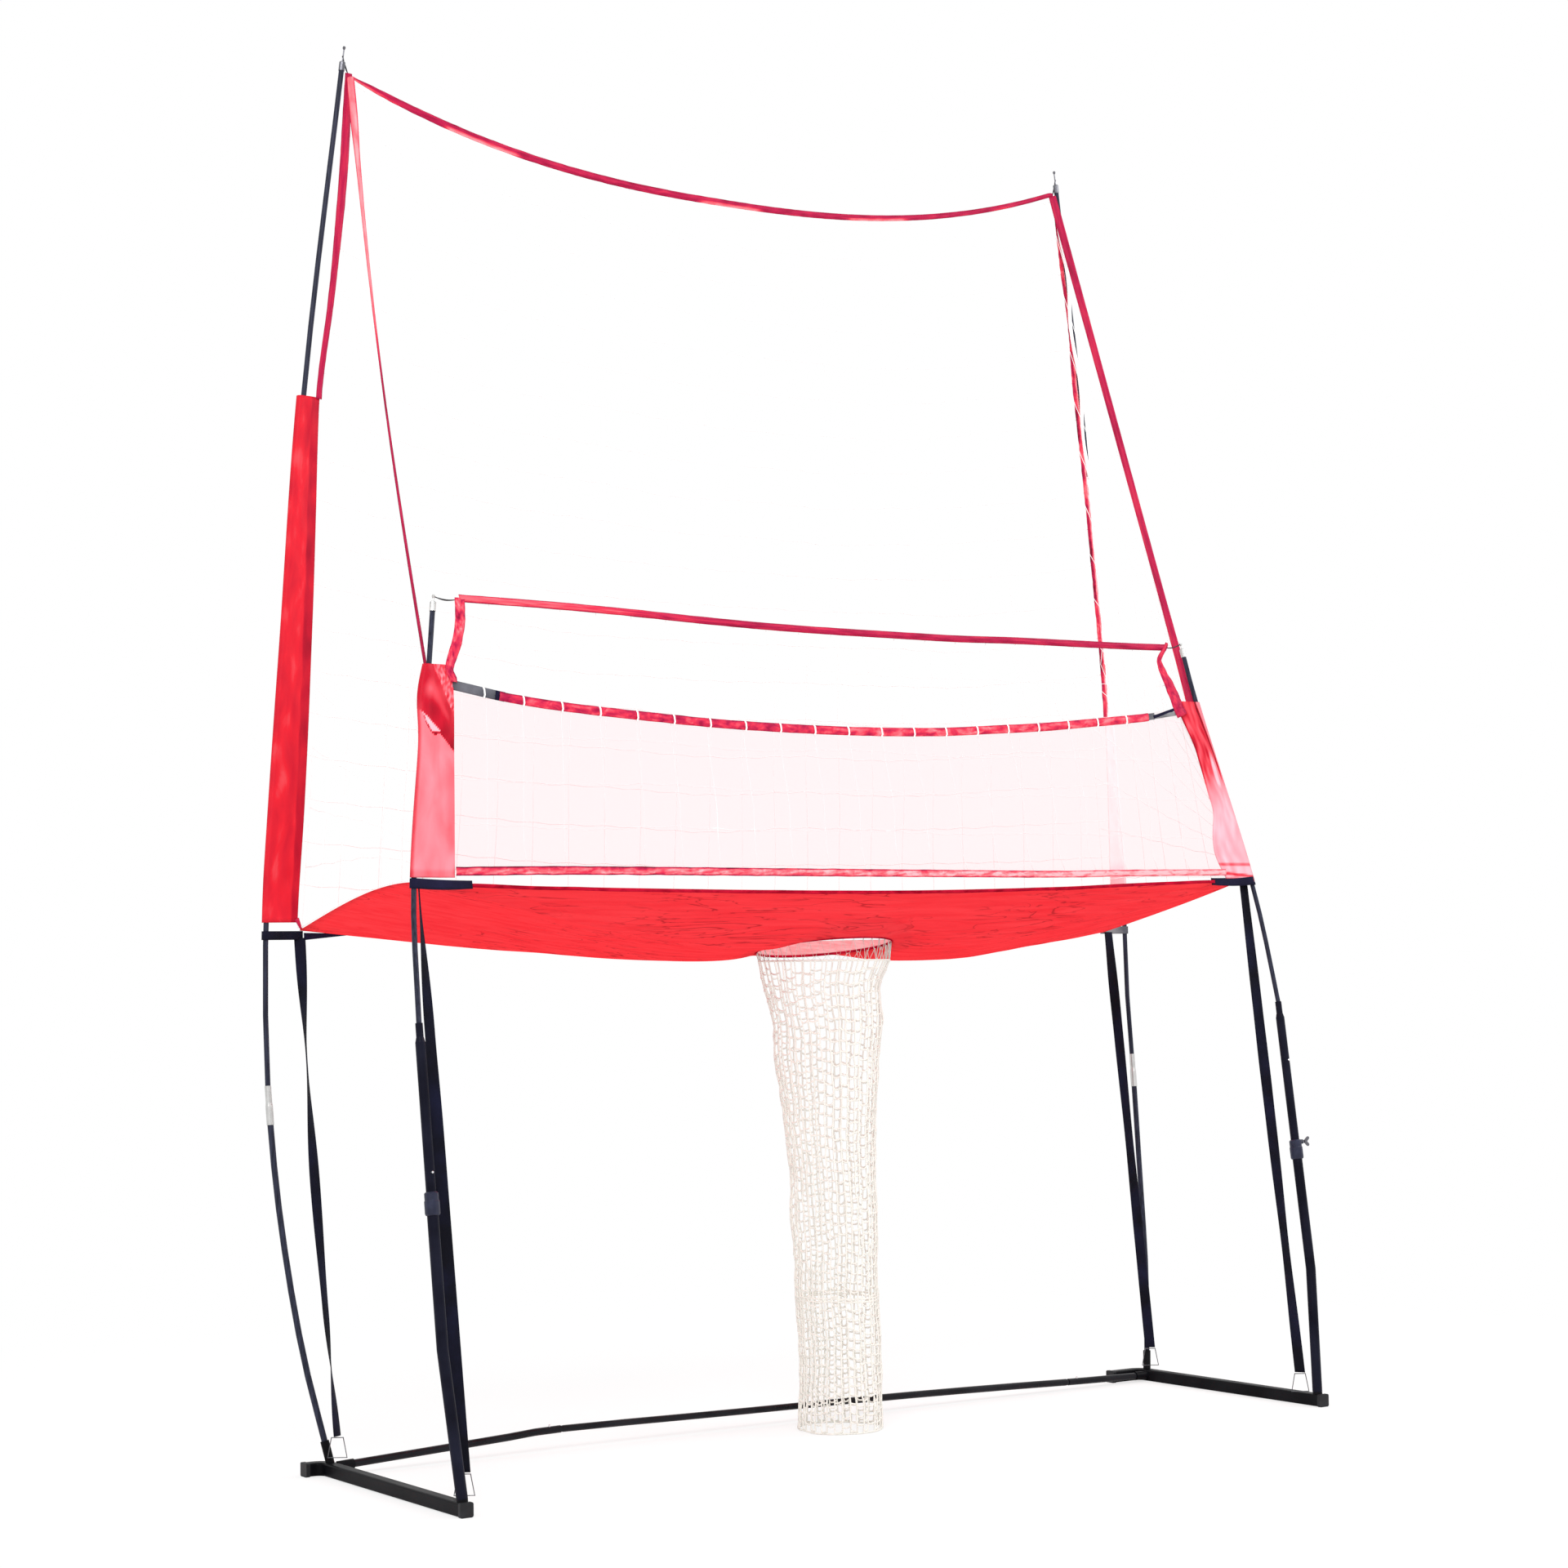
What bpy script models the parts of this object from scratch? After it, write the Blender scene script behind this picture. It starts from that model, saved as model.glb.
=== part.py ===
"""Volleyball practice net on a steel and glass-fibre frame. Metres, +Z up, front towards -Y.

Two bowed back poles carry a high net, two telescoping front poles carry a low one, and a sloping
fabric tray between them has a hole that opens into a net tube, which reaches the ground.
All places below are given from the middle of the line through the feet of the back poles. The
empty called layout then carries the net so that the origin is under the middle of its box.
"""

import math

import bmesh
import bpy
from mathutils import Matrix, Vector

SIDES = {"left": -1, "right": 1}
GAP = 0.0003
FIT = 0.0005
FACET = math.cos(math.pi / 12)

# Feet and ground tube
FOOT_SIZE = 0.030
FOOT_WALL = 0.0018
FOOT_CORNER = 0.004
FOOT_LIFT = 0.001
CAP_SIZE = 0.032
CAP_DEPTH = 0.010
CAP_PLUG = 0.009
FOOT_FRONT = (1.240, -0.661)
FOOT_HEEL = (1.230, -0.002)
HEEL_RADIUS = 0.030
REAR_LEG = {"left": 0.012, "right": 0.069}
SOCKET_HEIGHT = 0.050
SOCKET_WALL = 0.0018
SPIGOT_RADIUS = 0.0109
SPIGOT_SHOULDER = 0.0124
GROUND_TUBE_RADIUS = 0.009
GROUND_TUBE_WALL = 0.0012
GROUND_TUBE_ROUTE = (
    (-1.190, -0.012, 0.024),
    (-0.770, -0.012, 0.044),
    (-0.660, -0.012, 0.050),
    (-0.155, -0.012, 0.043),
    (0.370, -0.012, 0.036),
    (0.760, -0.012, 0.027),
    (0.970, -0.012, 0.021),
    (1.190, -0.012, 0.017),
)
GROUND_JOINTS = {"left": -0.660, "right": 0.970}
MIDDLE_STEP_X = 0.290
MIDDLE_STEP = 0.92
SWAGE_LENGTH = 0.060
SWAGE_RATIO = 0.80
STUB_RADIUS = 0.0114
STUB_LENGTH = 0.040

# Front poles: a steel outer tube, a steel middle tube that slides in it and a thin upper rod
FRONT_X = 1.2625
FRONT_FOOT = (1.239, -0.648)
FRONT_Y = -0.568
FRONT_SLOPE = 0.14
COLLAR_Z = 0.650
STRAIGHT_FROM_Z = 0.345
POLE_FOOT_Z = 0.036
OUTER_TUBE_RADIUS = 0.0127
OUTER_TUBE_BORE = 0.01145
MIDDLE_TUBE_RADIUS = 0.0111
MIDDLE_TUBE_BORE = 0.0096
MIDDLE_TUBE_BOTTOM_Z = 0.355
MIDDLE_TUBE_TOP_Z = 1.033
NECK_LENGTH = 0.030
NECK_RADIUS = 0.0082
ROD_RADIUS = 0.006
ROD_DEPTH = 0.060
ROD_ROUTE = (
    (1.2625, -0.5144, 1.033),
    (1.240, -0.452, 1.339),
    (1.146, -0.352, 1.828),
    (1.122, -0.328, 1.971),
)
COLLAR_LENGTH = 0.050
COLLAR_RADIUS = 0.0155
CLAMP_LIP = 0.0125
BOSS_RADIUS = 0.0065
BOSS_LENGTH = 0.009
THUMBSCREW_Z = 0.669
THUMBSCREW_AXIS = {"left": (0.57, 0.82, 0.0), "right": (1.0, 0.0, 0.0)}
SCREW_RADIUS = 0.0028
SCREW_LENGTH = 0.030
WING_RADIUS = 0.0042
WING_REACH = 0.0085
WING_RISE = 0.010
WING_THICKNESS = 0.0028
BUTTON_Z = {"left": 0.715, "right": 0.880}
BUTTON_RADIUS = 0.0026
BUTTON_STANDS = 0.0045

# Back poles: glass-fibre rods joined by a metal ferrule
BACK_ROUTE = (
    (1.230, 0.000, 0.036),
    (1.275, 0.047, 0.285),
    (1.304, 0.099, 0.585),
    (1.316, 0.131, 0.850),
    (1.315, 0.149, 1.085),
    (1.307, 0.148, 1.400),
    (1.212, 0.146, 2.505),
    (1.108, 0.140, 3.328),
)
LOWER_POLE_RADIUS = 0.00725
UPPER_POLE_RADIUS = 0.00625
FERRULE_Z = (0.795, 0.885)
FERRULE_WALL = 0.0008
TIP_SKIRT = 0.020
TIP_LENGTH = 0.042
KNOB_RADIUS = 0.004

# Soft parts
TRAY_FRONT_Y = -0.452
TRAY_BACK_Y = 0.1425
TRAY_BACK_X = 1.233
TRAY_BACK_LOW_Z = 1.205
TRAY_BACK_RISE = 0.023
TRAY_FRONT_X = 1.205
HEM_Z = 1.336
HEM_HALF_WIDTH = 1.098
CORNER_DROP = 0.026
SIDE_BOW = 0.038
BELLY = 0.018
CLOTH = 0.0016
HOLE_CENTRE = (0.050, -0.170, 1.180)
HOLE_RADIUS = 0.170
HOLE_TILT = 0.026
HOLE_RIM = 0.004
CHUTE_SECTIONS = (
    (0.076, -0.173, 0.004, 0.1080),
    (0.076, -0.173, 0.195, 0.1080),
    (0.073, -0.172, 0.500, 0.1140),
    (0.066, -0.171, 0.765, 0.1290),
    (0.058, -0.170, 1.005, 0.1490),
    (0.050, -0.170, 1.175, 0.1660),
)
NET_Y = 0.1455
CORD = 0.003
TAPE_WIDTH = 0.024
BACK_TAPE_X = 1.088
BACK_TAPE_LOW_Z = 3.130
BACK_TAPE_RISE = 0.168
BACK_NET_EDGE = (
    (1.229, 0.0, 1.235),
    (1.196, 0.0, 1.885),
    (1.165, 0.0, 2.505),
    (1.125, 0.0, 2.845),
    (1.092, 0.0, 3.085),
    (1.080, 0.0, 3.305),
)
FRONT_NET_EDGE = (
    (1.137, 0.0, 1.358),
    (1.083, 0.0, 1.815),
    (1.056, 0.0, 1.985),
)
FRONT_TAPE_Z = (1.968, 1.987)
FRONT_TRIM_Z = (1.358, 1.377)
PANEL_TOP_Z = (1.727, 1.797)
BACK_SLEEVE_Z = (1.263, 2.510)
BACK_SLEEVE_TAIL_X = (1.232, 1.169)
FRONT_SLEEVE_Z = (1.349, 1.830)
FRONT_SLEEVE_TAIL_X = (1.140, 1.087)
WEBBING_HEIGHT = 0.020
BACK_LOOP_Z = 1.2305
BACK_LOOP_TAIL_X = 1.2365
FRONT_LOOP_Z = 1.3325
FRONT_LOOP_TAIL_X = 1.101
SIDE_NET_CORNERS = (
    (1.236, 0.133, 1.247),
    (1.222, -0.425, 1.357),
    (1.140, -0.330, 1.817),
    (1.084, 0.129, 3.220),
)
SIDE_TAPE_ENDS = ((1.140, -0.333, 1.847), (1.085, 0.110, 3.285))
SIDE_TAPE_WIDTH = 0.018
STRAP_WIDTH = 0.027
STRAP_ENDS = {
    "back": ((1.222, -0.024, 0.092), (1.245, 0.141, 1.218)),
    "front": ((1.214, -0.612, 0.084), (1.221, -0.438, 1.320)),
}
STRAP_TURN = {
    "left_back": (35, 20, -70, -60, 0),
    "right_back": (35, 60, 90, 10, 0),
    "left_front": (35, 30, 120, 30, 0),
    "right_front": (35, 80, 40, -10, 0),
}
RING_WIRE = 0.0015
RING_WIDTH = 0.044
RING_HEIGHT = 0.045

MATERIALS = {
    "foot_steel": ((0.030, 0.032, 0.040), 0.45, 0.4),
    "cap_plastic": ((0.012, 0.012, 0.014), 0.6, 0.0),
    "tube_steel": ((0.020, 0.024, 0.040), 0.35, 0.5),
    "collar_plastic": ((0.060, 0.080, 0.160), 0.45, 0.0),
    "screw_steel": ((0.620, 0.630, 0.650), 0.30, 1.0),
    "rod_glass_fibre": ((0.015, 0.015, 0.018), 0.30, 0.0),
    "tip_metal": ((0.600, 0.600, 0.620), 0.25, 1.0),
    "webbing": ((0.020, 0.024, 0.050), 0.85, 0.0),
    "tray_nylon": ((0.800, 0.020, 0.035), 0.40, 0.0),
    "sleeve_nylon": ((0.650, 0.015, 0.040), 0.45, 0.0),
    "panel_mesh": ((0.700, 0.100, 0.160), 0.60, 0.0),
    "tape_nylon": ((0.500, 0.008, 0.050), 0.50, 0.0),
    "net_cord": ((0.780, 0.780, 0.780), 0.70, 0.0),
}


def clear_scene():
    for obj in list(bpy.data.objects):
        bpy.data.objects.remove(obj, do_unlink=True)


def make_collection(name):
    collection = bpy.data.collections.new(name)
    bpy.context.scene.collection.children.link(collection)
    return collection


def make_material(name):
    colour, roughness, metallic = MATERIALS[name]
    material = bpy.data.materials.new(name)
    material.use_nodes = True
    surface = material.node_tree.nodes["Principled BSDF"]
    surface.inputs["Base Color"].default_value = (*colour, 1.0)
    surface.inputs["Roughness"].default_value = roughness
    surface.inputs["Metallic"].default_value = metallic
    return material


clear_scene()
NET = make_collection("volleyball_practice_net")
CUTTERS = make_collection("cutters")
PAINT = {name: make_material(name) for name in MATERIALS}
LAYOUT = bpy.data.objects.new("layout", None)
NET.objects.link(LAYOUT)


def axis_marker(name, place):
    """An empty on a joint's axis, which carries the pieces that move with it."""
    empty = bpy.data.objects.new(name, None)
    empty.location = place
    empty.parent = LAYOUT
    NET.objects.link(empty)
    return empty


def add_part(name, mesh, material, parent=None):
    """A mesh given in the layout's frame becomes one named piece of the net."""
    obj = bpy.data.objects.new(name, mesh)
    mesh.materials.append(PAINT[material])
    NET.objects.link(obj)
    obj.parent = parent or LAYOUT
    if parent:
        obj.location = -parent.location
    return obj


def add_cutter(name, mesh):
    obj = bpy.data.objects.new(name, mesh)
    obj.hide_render = True
    obj.display_type = "WIRE"
    obj.parent = LAYOUT
    CUTTERS.objects.link(obj)
    return obj


def boolean(obj, tool, operation):
    step = obj.modifiers.new(f"{operation.lower()} {tool.name}", "BOOLEAN")
    step.operation = operation
    step.object = tool


def cut(obj, tool):
    boolean(obj, tool, "DIFFERENCE")


def weld_on(obj, tool):
    boolean(obj, tool, "UNION")


def shade_round(mesh):
    mesh.shade_smooth()
    mesh.set_sharp_from_angle(angle=math.radians(40))


def mesh_from_bmesh(name, bm):
    mesh = bpy.data.meshes.new(name)
    bm.to_mesh(mesh)
    bm.free()
    shade_round(mesh)
    return mesh


def mesh_from_curve(name, curve, matrix=None):
    """The evaluated curve as a welded mesh."""
    holder = bpy.data.objects.new(name, curve)
    bpy.context.scene.collection.objects.link(holder)
    graph = bpy.context.evaluated_depsgraph_get()
    mesh = bpy.data.meshes.new_from_object(holder.evaluated_get(graph))
    bm = bmesh.new()
    bm.from_mesh(mesh)
    bmesh.ops.remove_doubles(bm, verts=bm.verts, dist=1e-5)
    bmesh.ops.recalc_face_normals(bm, faces=bm.faces)
    if matrix:
        bm.transform(matrix)
    bpy.data.objects.remove(holder, do_unlink=True)
    bpy.data.meshes.remove(mesh)
    return mesh_from_bmesh(name, bm)


def poly_curve(name, points, closed=False):
    curve = bpy.data.curves.new(name, "CURVE")
    curve.dimensions = "3D"
    spline = curve.splines.new("POLY")
    spline.points.add(len(points) - 1)
    for knot, place in zip(spline.points, points):
        knot.co = (*place, 1.0)
    spline.use_cyclic_u = closed
    return curve


def pipe(name, points, radius, sides=12, scales=None, closed=False):
    """A round bar along points. scales gives the share of the radius at each point."""
    curve = poly_curve(name, points, closed)
    curve.bevel_depth = radius
    curve.bevel_resolution = (sides - 4) // 2
    curve.use_fill_caps = not closed
    if scales:
        for knot, scale in zip(curve.splines[0].points, scales):
            knot.radius = scale
    return mesh_from_curve(name, curve)


def box_section(size, corner):
    """Points round a square section with rounded corners, two chamfers' worth each."""
    half = size / 2
    points = []
    for quarter in range(4):
        middle = math.radians(45 + 90 * quarter)
        centre = Vector((math.copysign(half - corner, math.cos(middle)),
                         math.copysign(half - corner, math.sin(middle)), 0))
        for step in (-1, 0, 1):
            angle = middle + math.radians(45) * step
            points.append(centre + corner * Vector((math.cos(angle), math.sin(angle), 0)))
    return points


def square_bar(name, points, size, corner):
    """A square section swept level along points."""
    section = bpy.data.objects.new(
        name + "_section", poly_curve(name + "_section", box_section(size, corner), closed=True)
    )
    section.data.dimensions = "2D"
    curve = poly_curve(name, points)
    curve.twist_mode = "Z_UP"
    curve.bevel_mode = "OBJECT"
    curve.bevel_object = section
    curve.use_fill_caps = True
    mesh = mesh_from_curve(name, curve)
    bpy.data.objects.remove(section, do_unlink=True)
    return mesh


def axis_matrix(place, axis):
    """Turns local +Z to the axis and moves the origin to the place."""
    turn = Vector((0, 0, 1)).rotation_difference(Vector(axis)).to_matrix().to_4x4()
    turn.translation = place
    return turn


def turned(name, profile, place, axis, material, parent=None, ring=False, steps=16):
    """A profile of (radius, height), down its outer side first, turned about the axis."""
    bm = bmesh.new()
    knots = [bm.verts.new((radius, 0, height)) for radius, height in profile]
    for start, end in zip(knots, knots[1:]):
        bm.edges.new((start, end))
    if ring:
        bm.edges.new((knots[-1], knots[0]))
    mesh = bpy.data.meshes.new(name)
    bm.to_mesh(mesh)
    bm.free()
    obj = add_part(name, mesh, material, parent)
    spin = obj.modifiers.new("turn", "SCREW")
    spin.steps = steps
    spin.render_steps = steps
    spin.use_merge_vertices = True
    spin.merge_threshold = 1e-5
    spin.use_smooth_shade = True
    obj.matrix_basis = axis_matrix(Vector(place) - (parent.location if parent else Vector()), axis)
    return obj


def cylinder(name, place, axis, radius, length, sides=16, start=0.0):
    """A cylinder from place + start along the axis, as a mesh in the layout's frame."""
    bm = bmesh.new()
    bmesh.ops.create_cone(bm, cap_ends=True, segments=sides, radius1=radius, radius2=radius,
                          depth=length)
    bmesh.ops.translate(bm, verts=bm.verts, vec=(0, 0, start + length / 2))
    bm.transform(axis_matrix(Vector(place), axis))
    return mesh_from_bmesh(name, bm)


def grid(name, patch, columns, rows, closed=False):
    """A surface of columns by rows whose point at (u, v), both from 0 to 1, is patch(u, v)."""
    bm = bmesh.new()
    bmesh.ops.create_grid(bm, x_segments=columns, y_segments=rows, size=0.5)
    for vert in bm.verts:
        vert.co = patch(vert.co.x + 0.5, vert.co.y + 0.5)
    if closed:
        bmesh.ops.remove_doubles(bm, verts=bm.verts, dist=1e-5)
    bmesh.ops.recalc_face_normals(bm, faces=bm.faces)
    return mesh_from_bmesh(name, bm)


def sheet(name, patch, columns, rows, material, parent=None, closed=False, thickness=CLOTH):
    obj = add_part(name, grid(name, patch, columns, rows, closed), material, parent)
    shell = obj.modifiers.new("cloth", "SOLIDIFY")
    shell.thickness = thickness
    shell.offset = 0
    shell.use_even_offset = True
    return obj


def cord_net(name, patch, columns, rows, parent=None):
    obj = add_part(name, grid(name, patch, columns, rows), "net_cord", parent)
    cords = obj.modifiers.new("cords", "WIREFRAME")
    cords.thickness = CORD
    cords.use_replace = True
    cords.use_even_offset = False
    cords.use_boundary = True
    return obj


def mix(a, b, share):
    return a + (b - a) * share


def at_height(route, z):
    """The point at height z on the smooth curve through a route whose points rise."""
    knots = [Vector(point) for point in route]
    last = len(knots) - 1
    i = next((k for k in range(last) if z <= knots[k + 1].z), last - 1)

    def slope(k):
        low, high = knots[max(k - 1, 0)], knots[min(k + 1, last)]
        return (high - low) / (high.z - low.z)

    span = knots[i + 1].z - knots[i].z
    t = (z - knots[i].z) / span
    start = knots[i] * (1 + 2 * t) * (1 - t) ** 2 + slope(i) * span * t * (1 - t) ** 2
    end = knots[i + 1] * t * t * (3 - 2 * t) - slope(i + 1) * span * t * t * (1 - t)
    return start + end


def mirrored(point, side):
    return Vector((point[0] * side, point[1], point[2]))


def rising(route, low, high, steps):
    """Points of a route at even heights from low to high."""
    return [at_height(route, mix(low, high, k / steps)) for k in range(steps + 1)]


def front_axis(side, z):
    """The straight axis of a front pole, on which its middle tube slides."""
    return Vector((side * FRONT_X, FRONT_Y + FRONT_SLOPE * (z - COLLAR_Z), z))


SLIDE_AXIS = Vector((0, FRONT_SLOPE, 1)).normalized()
BUTTON_AXIS = Vector((0, -1, FRONT_SLOPE)).normalized()
SLIDE_STRETCH = math.hypot(1, FRONT_SLOPE)


def foot_path(side, extra=0.0):
    """The centre line of a foot: straight back to the heel, then round it towards -X."""
    z = FOOT_LIFT + FOOT_SIZE / 2
    front = Vector((side * FOOT_FRONT[0], FOOT_FRONT[1], z))
    heel = Vector((side * FOOT_HEEL[0], FOOT_HEEL[1], z))
    front += (front - heel).normalized() * extra
    centre = heel - Vector((HEEL_RADIUS, 0, 0))
    bend = [
        centre + HEEL_RADIUS * Vector((math.cos(angle), math.sin(angle), 0))
        for angle in (math.radians(15 * k) for k in range(1, 7))
    ]
    straight = REAR_LEG["left" if side < 0 else "right"]
    end = bend[-1] - Vector((straight + extra, 0, 0))
    return [front, heel, *bend, end]


def make_foot(name, side):
    """A bent square tube with two welded sockets and the stub that takes the ground tube."""
    outer = square_bar(name + "_foot", foot_path(side), FOOT_SIZE, FOOT_CORNER)
    foot = add_part(name + "_foot", outer, "foot_steel")
    inside = square_bar(name + "_foot_hollow", foot_path(side, 0.01),
                        FOOT_SIZE - 2 * FOOT_WALL, FOOT_CORNER - FOOT_WALL)
    cut(foot, add_cutter(name + "_foot_hollow", inside))
    top = FOOT_LIFT + FOOT_SIZE
    front_low = front_foot(side, top)
    front_up = (front_foot(side, 0.10) - front_low).normalized()
    back_low = mirrored(at_height(BACK_ROUTE, top), side)
    back_up = (mirrored(at_height(BACK_ROUTE, 0.10), side) - back_low).normalized()
    for label, place, axis, radius, height in (
        ("shoulder", front_low, front_up, SPIGOT_SHOULDER, POLE_FOOT_Z - top - GAP),
        ("spigot", front_low, front_up, SPIGOT_RADIUS, SOCKET_HEIGHT),
        ("socket", back_low, back_up, LOWER_POLE_RADIUS + 2 * FIT + SOCKET_WALL, SOCKET_HEIGHT),
    ):
        post = cylinder(f"{name}_{label}", place, axis, radius, height + 0.0015, start=-0.0015)
        weld_on(foot, add_cutter(f"{name}_{label}", post))
    bore = cylinder(name + "_socket_bore", back_low, back_up, LOWER_POLE_RADIUS + 2 * FIT,
                    SOCKET_HEIGHT, start=POLE_FOOT_Z - 0.001 - top)
    cut(foot, add_cutter(name + "_socket_bore", bore))
    end = Vector(GROUND_TUBE_ROUTE[0 if side < 0 else -1])
    inward = (ground_point(end.x - side * STUB_LENGTH) - end).normalized()
    root = end - inward * (FOOT_HEEL[0] - FOOT_SIZE / 2 - abs(end.x))
    stub = cylinder(name + "_stub", root, inward, STUB_RADIUS, STUB_LENGTH, start=-0.001)
    hole = cylinder(name + "_stub_bore", root, inward, GROUND_TUBE_RADIUS + FIT, STUB_LENGTH,
                    start=0.004)
    weld_on(foot, add_cutter(name + "_stub", stub))
    cut(foot, add_cutter(name + "_stub_bore", hole))
    return foot


def make_foot_caps(name, side):
    """Plastic plugs in both ends of a foot. The net stands on their flat undersides."""
    path = foot_path(side)
    for place, end, before in (("front", path[0], path[1]), ("rear", path[-1], path[-2])):
        out = (end - before).normalized()
        centre = Vector((end.x, end.y, CAP_SIZE / 2))
        head = square_bar(f"{name}_foot_{place}_cap", [centre + out * GAP, centre + out * CAP_DEPTH],
                          CAP_SIZE, FOOT_CORNER)
        cap = add_part(f"{name}_foot_{place}_cap", head, "cap_plastic")
        plug = square_bar(f"{name}_{place}_plug", [end - out * CAP_PLUG, end + out * CAP_DEPTH / 2],
                          FOOT_SIZE - 2 * FOOT_WALL - 2 * FIT, FOOT_CORNER - FOOT_WALL)
        weld_on(cap, add_cutter(f"{name}_{place}_plug", plug))


def ground_point(x):
    """The centre of the ground tube at x, on the smooth curve through its route."""
    swapped = [(y, z, x0) for x0, y, z in GROUND_TUBE_ROUTE]
    y, z, _ = at_height(swapped, x)
    return Vector((x, y, z))


def make_ground_tube():
    """Three lengths of tube. The middle one's drawn-down ends plug into the other two."""
    half = SWAGE_LENGTH / 2
    left, right = GROUND_JOINTS["left"], GROUND_JOINTS["right"]
    ends = GROUND_TUBE_ROUTE[0][0], GROUND_TUBE_ROUTE[-1][0]
    bore = (GROUND_TUBE_RADIUS - GROUND_TUBE_WALL) / GROUND_TUBE_RADIUS
    lengths = {
        "left": [mix(ends[0], left + half, k / 8) for k in range(9)],
        "right": [mix(right - half, ends[1], k / 4) for k in range(5)],
        "middle": [left - half, left + half + 0.001, left + half + 0.008]
        + [mix(left + half + 0.008, right - half - 0.008, k / 9) for k in range(1, 9)]
        + [right - half - 0.008, right - half - 0.001, right + half],
    }
    lengths["middle"] = sorted([*lengths["middle"], MIDDLE_STEP_X, MIDDLE_STEP_X + 0.001])
    for name, stations in lengths.items():
        points = [ground_point(x) for x in stations]
        scales = [1.0] * len(points)
        if name == "middle":
            scales = [MIDDLE_STEP if x <= MIDDLE_STEP_X else 1.0 for x in stations]
            scales[:2] = scales[-2:] = [SWAGE_RATIO] * 2
        tube = add_part(f"ground_tube_{name}",
                        pipe(f"ground_tube_{name}", points, GROUND_TUBE_RADIUS, 12, scales),
                        "tube_steel")
        start, end = points[0] - points[1], points[-1] - points[-2]
        points[0] += start.normalized() * 0.01
        points[-1] += end.normalized() * 0.01
        inside = pipe(f"ground_tube_{name}_bore", points, GROUND_TUBE_RADIUS * bore, 12, scales)
        cut(tube, add_cutter(f"ground_tube_{name}_bore", inside))
        for label, x in GROUND_JOINTS.items():
            if name in ("middle", label):
                hole = cylinder(f"{name}_hole_{label}", ground_point(x), (0, 0, 1),
                                BUTTON_RADIUS + FIT, 0.02, 12)
                cut(tube, add_cutter(f"{name}_hole_{label}", hole))


def make_button(name, place, axis, wall_outside, bore, parent):
    """A snap button: a domed pin with a flange that bears on the inside of the tube."""
    top = wall_outside + BUTTON_STANDS
    reach = BUTTON_RADIUS + 0.0012
    flange = math.sqrt((bore * FACET) ** 2 - reach**2) - GAP
    profile = [
        (0, top), (BUTTON_RADIUS * 0.6, top - 0.0003), (BUTTON_RADIUS, top - 0.0015),
        (BUTTON_RADIUS, flange), (reach, flange), (reach, flange - 0.0012), (0, flange - 0.0012),
    ]
    return turned(name, profile, place, axis, "tip_metal", parent, steps=12)


def make_ground_buttons():
    for name, x in GROUND_JOINTS.items():
        make_button(f"ground_button_{name}", ground_point(x), (0, 0, 1), GROUND_TUBE_RADIUS,
                    (GROUND_TUBE_RADIUS - GROUND_TUBE_WALL) * SWAGE_RATIO, None)


def front_foot_route():
    """The right outer tube's centre line, which leans in to the foot below its straight part."""
    top = COLLAR_Z + COLLAR_LENGTH / 2 - CLAMP_LIP - 0.001
    return [Vector((*FRONT_FOOT, POLE_FOOT_Z)), front_axis(1, STRAIGHT_FROM_Z), front_axis(1, top)]


def front_foot(side, z):
    """The centre of an outer tube at height z, below its straight part."""
    low, high = front_foot_route()[:2]
    return mirrored(mix(low, high, (z - low.z) / (high.z - low.z)), side)


def make_outer_tube(name, side):
    """The lower front pole, open all along: the middle tube slides in it, the foot's pin enters."""
    points = [mirrored(point, side) for point in front_foot_route()]
    label = name + "_front_outer_tube"
    tube = add_part(label, pipe(label, points, OUTER_TUBE_RADIUS, 16), "tube_steel")
    low, middle, high = points
    longer = [low + (low - middle).normalized() * 0.01, middle, high + SLIDE_AXIS * 0.01]
    bore = pipe(label + "_bore", longer, OUTER_TUBE_BORE, 16)
    cut(tube, add_cutter(label + "_bore", bore))


def make_collar(name, side):
    """The clamp on top of the outer tube, with a threaded boss for its thumbscrew."""
    low = front_axis(side, COLLAR_Z - COLLAR_LENGTH / 2)
    step = COLLAR_LENGTH - CLAMP_LIP
    round_over = 0.003
    profile = [
        (COLLAR_RADIUS - round_over, COLLAR_LENGTH),
        (COLLAR_RADIUS, COLLAR_LENGTH - round_over),
        (COLLAR_RADIUS, 0.032), (COLLAR_RADIUS + 0.0012, 0.030),
        (COLLAR_RADIUS + 0.0012, 0.004), (COLLAR_RADIUS, 0.001), (COLLAR_RADIUS - 0.001, 0),
        (OUTER_TUBE_RADIUS + GAP, 0), (OUTER_TUBE_RADIUS + GAP, step),
        (MIDDLE_TUBE_RADIUS + FIT, step), (MIDDLE_TUBE_RADIUS + FIT, COLLAR_LENGTH),
    ]
    collar = turned(name + "_front_collar", profile, low, SLIDE_AXIS, "collar_plastic", ring=True)
    out = Vector(THUMBSCREW_AXIS[name]).normalized()
    centre = front_axis(side, THUMBSCREW_Z)
    boss = cylinder(name + "_boss", centre, out, BOSS_RADIUS, COLLAR_RADIUS + BOSS_LENGTH - 0.0135,
                    6, start=0.0135)
    hole = cylinder(name + "_screw_hole", centre, out, SCREW_RADIUS + GAP, 0.03, 12, start=0.008)
    weld_on(collar, add_cutter(name + "_boss", boss))
    cut(collar, add_cutter(name + "_screw_hole", hole))


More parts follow.
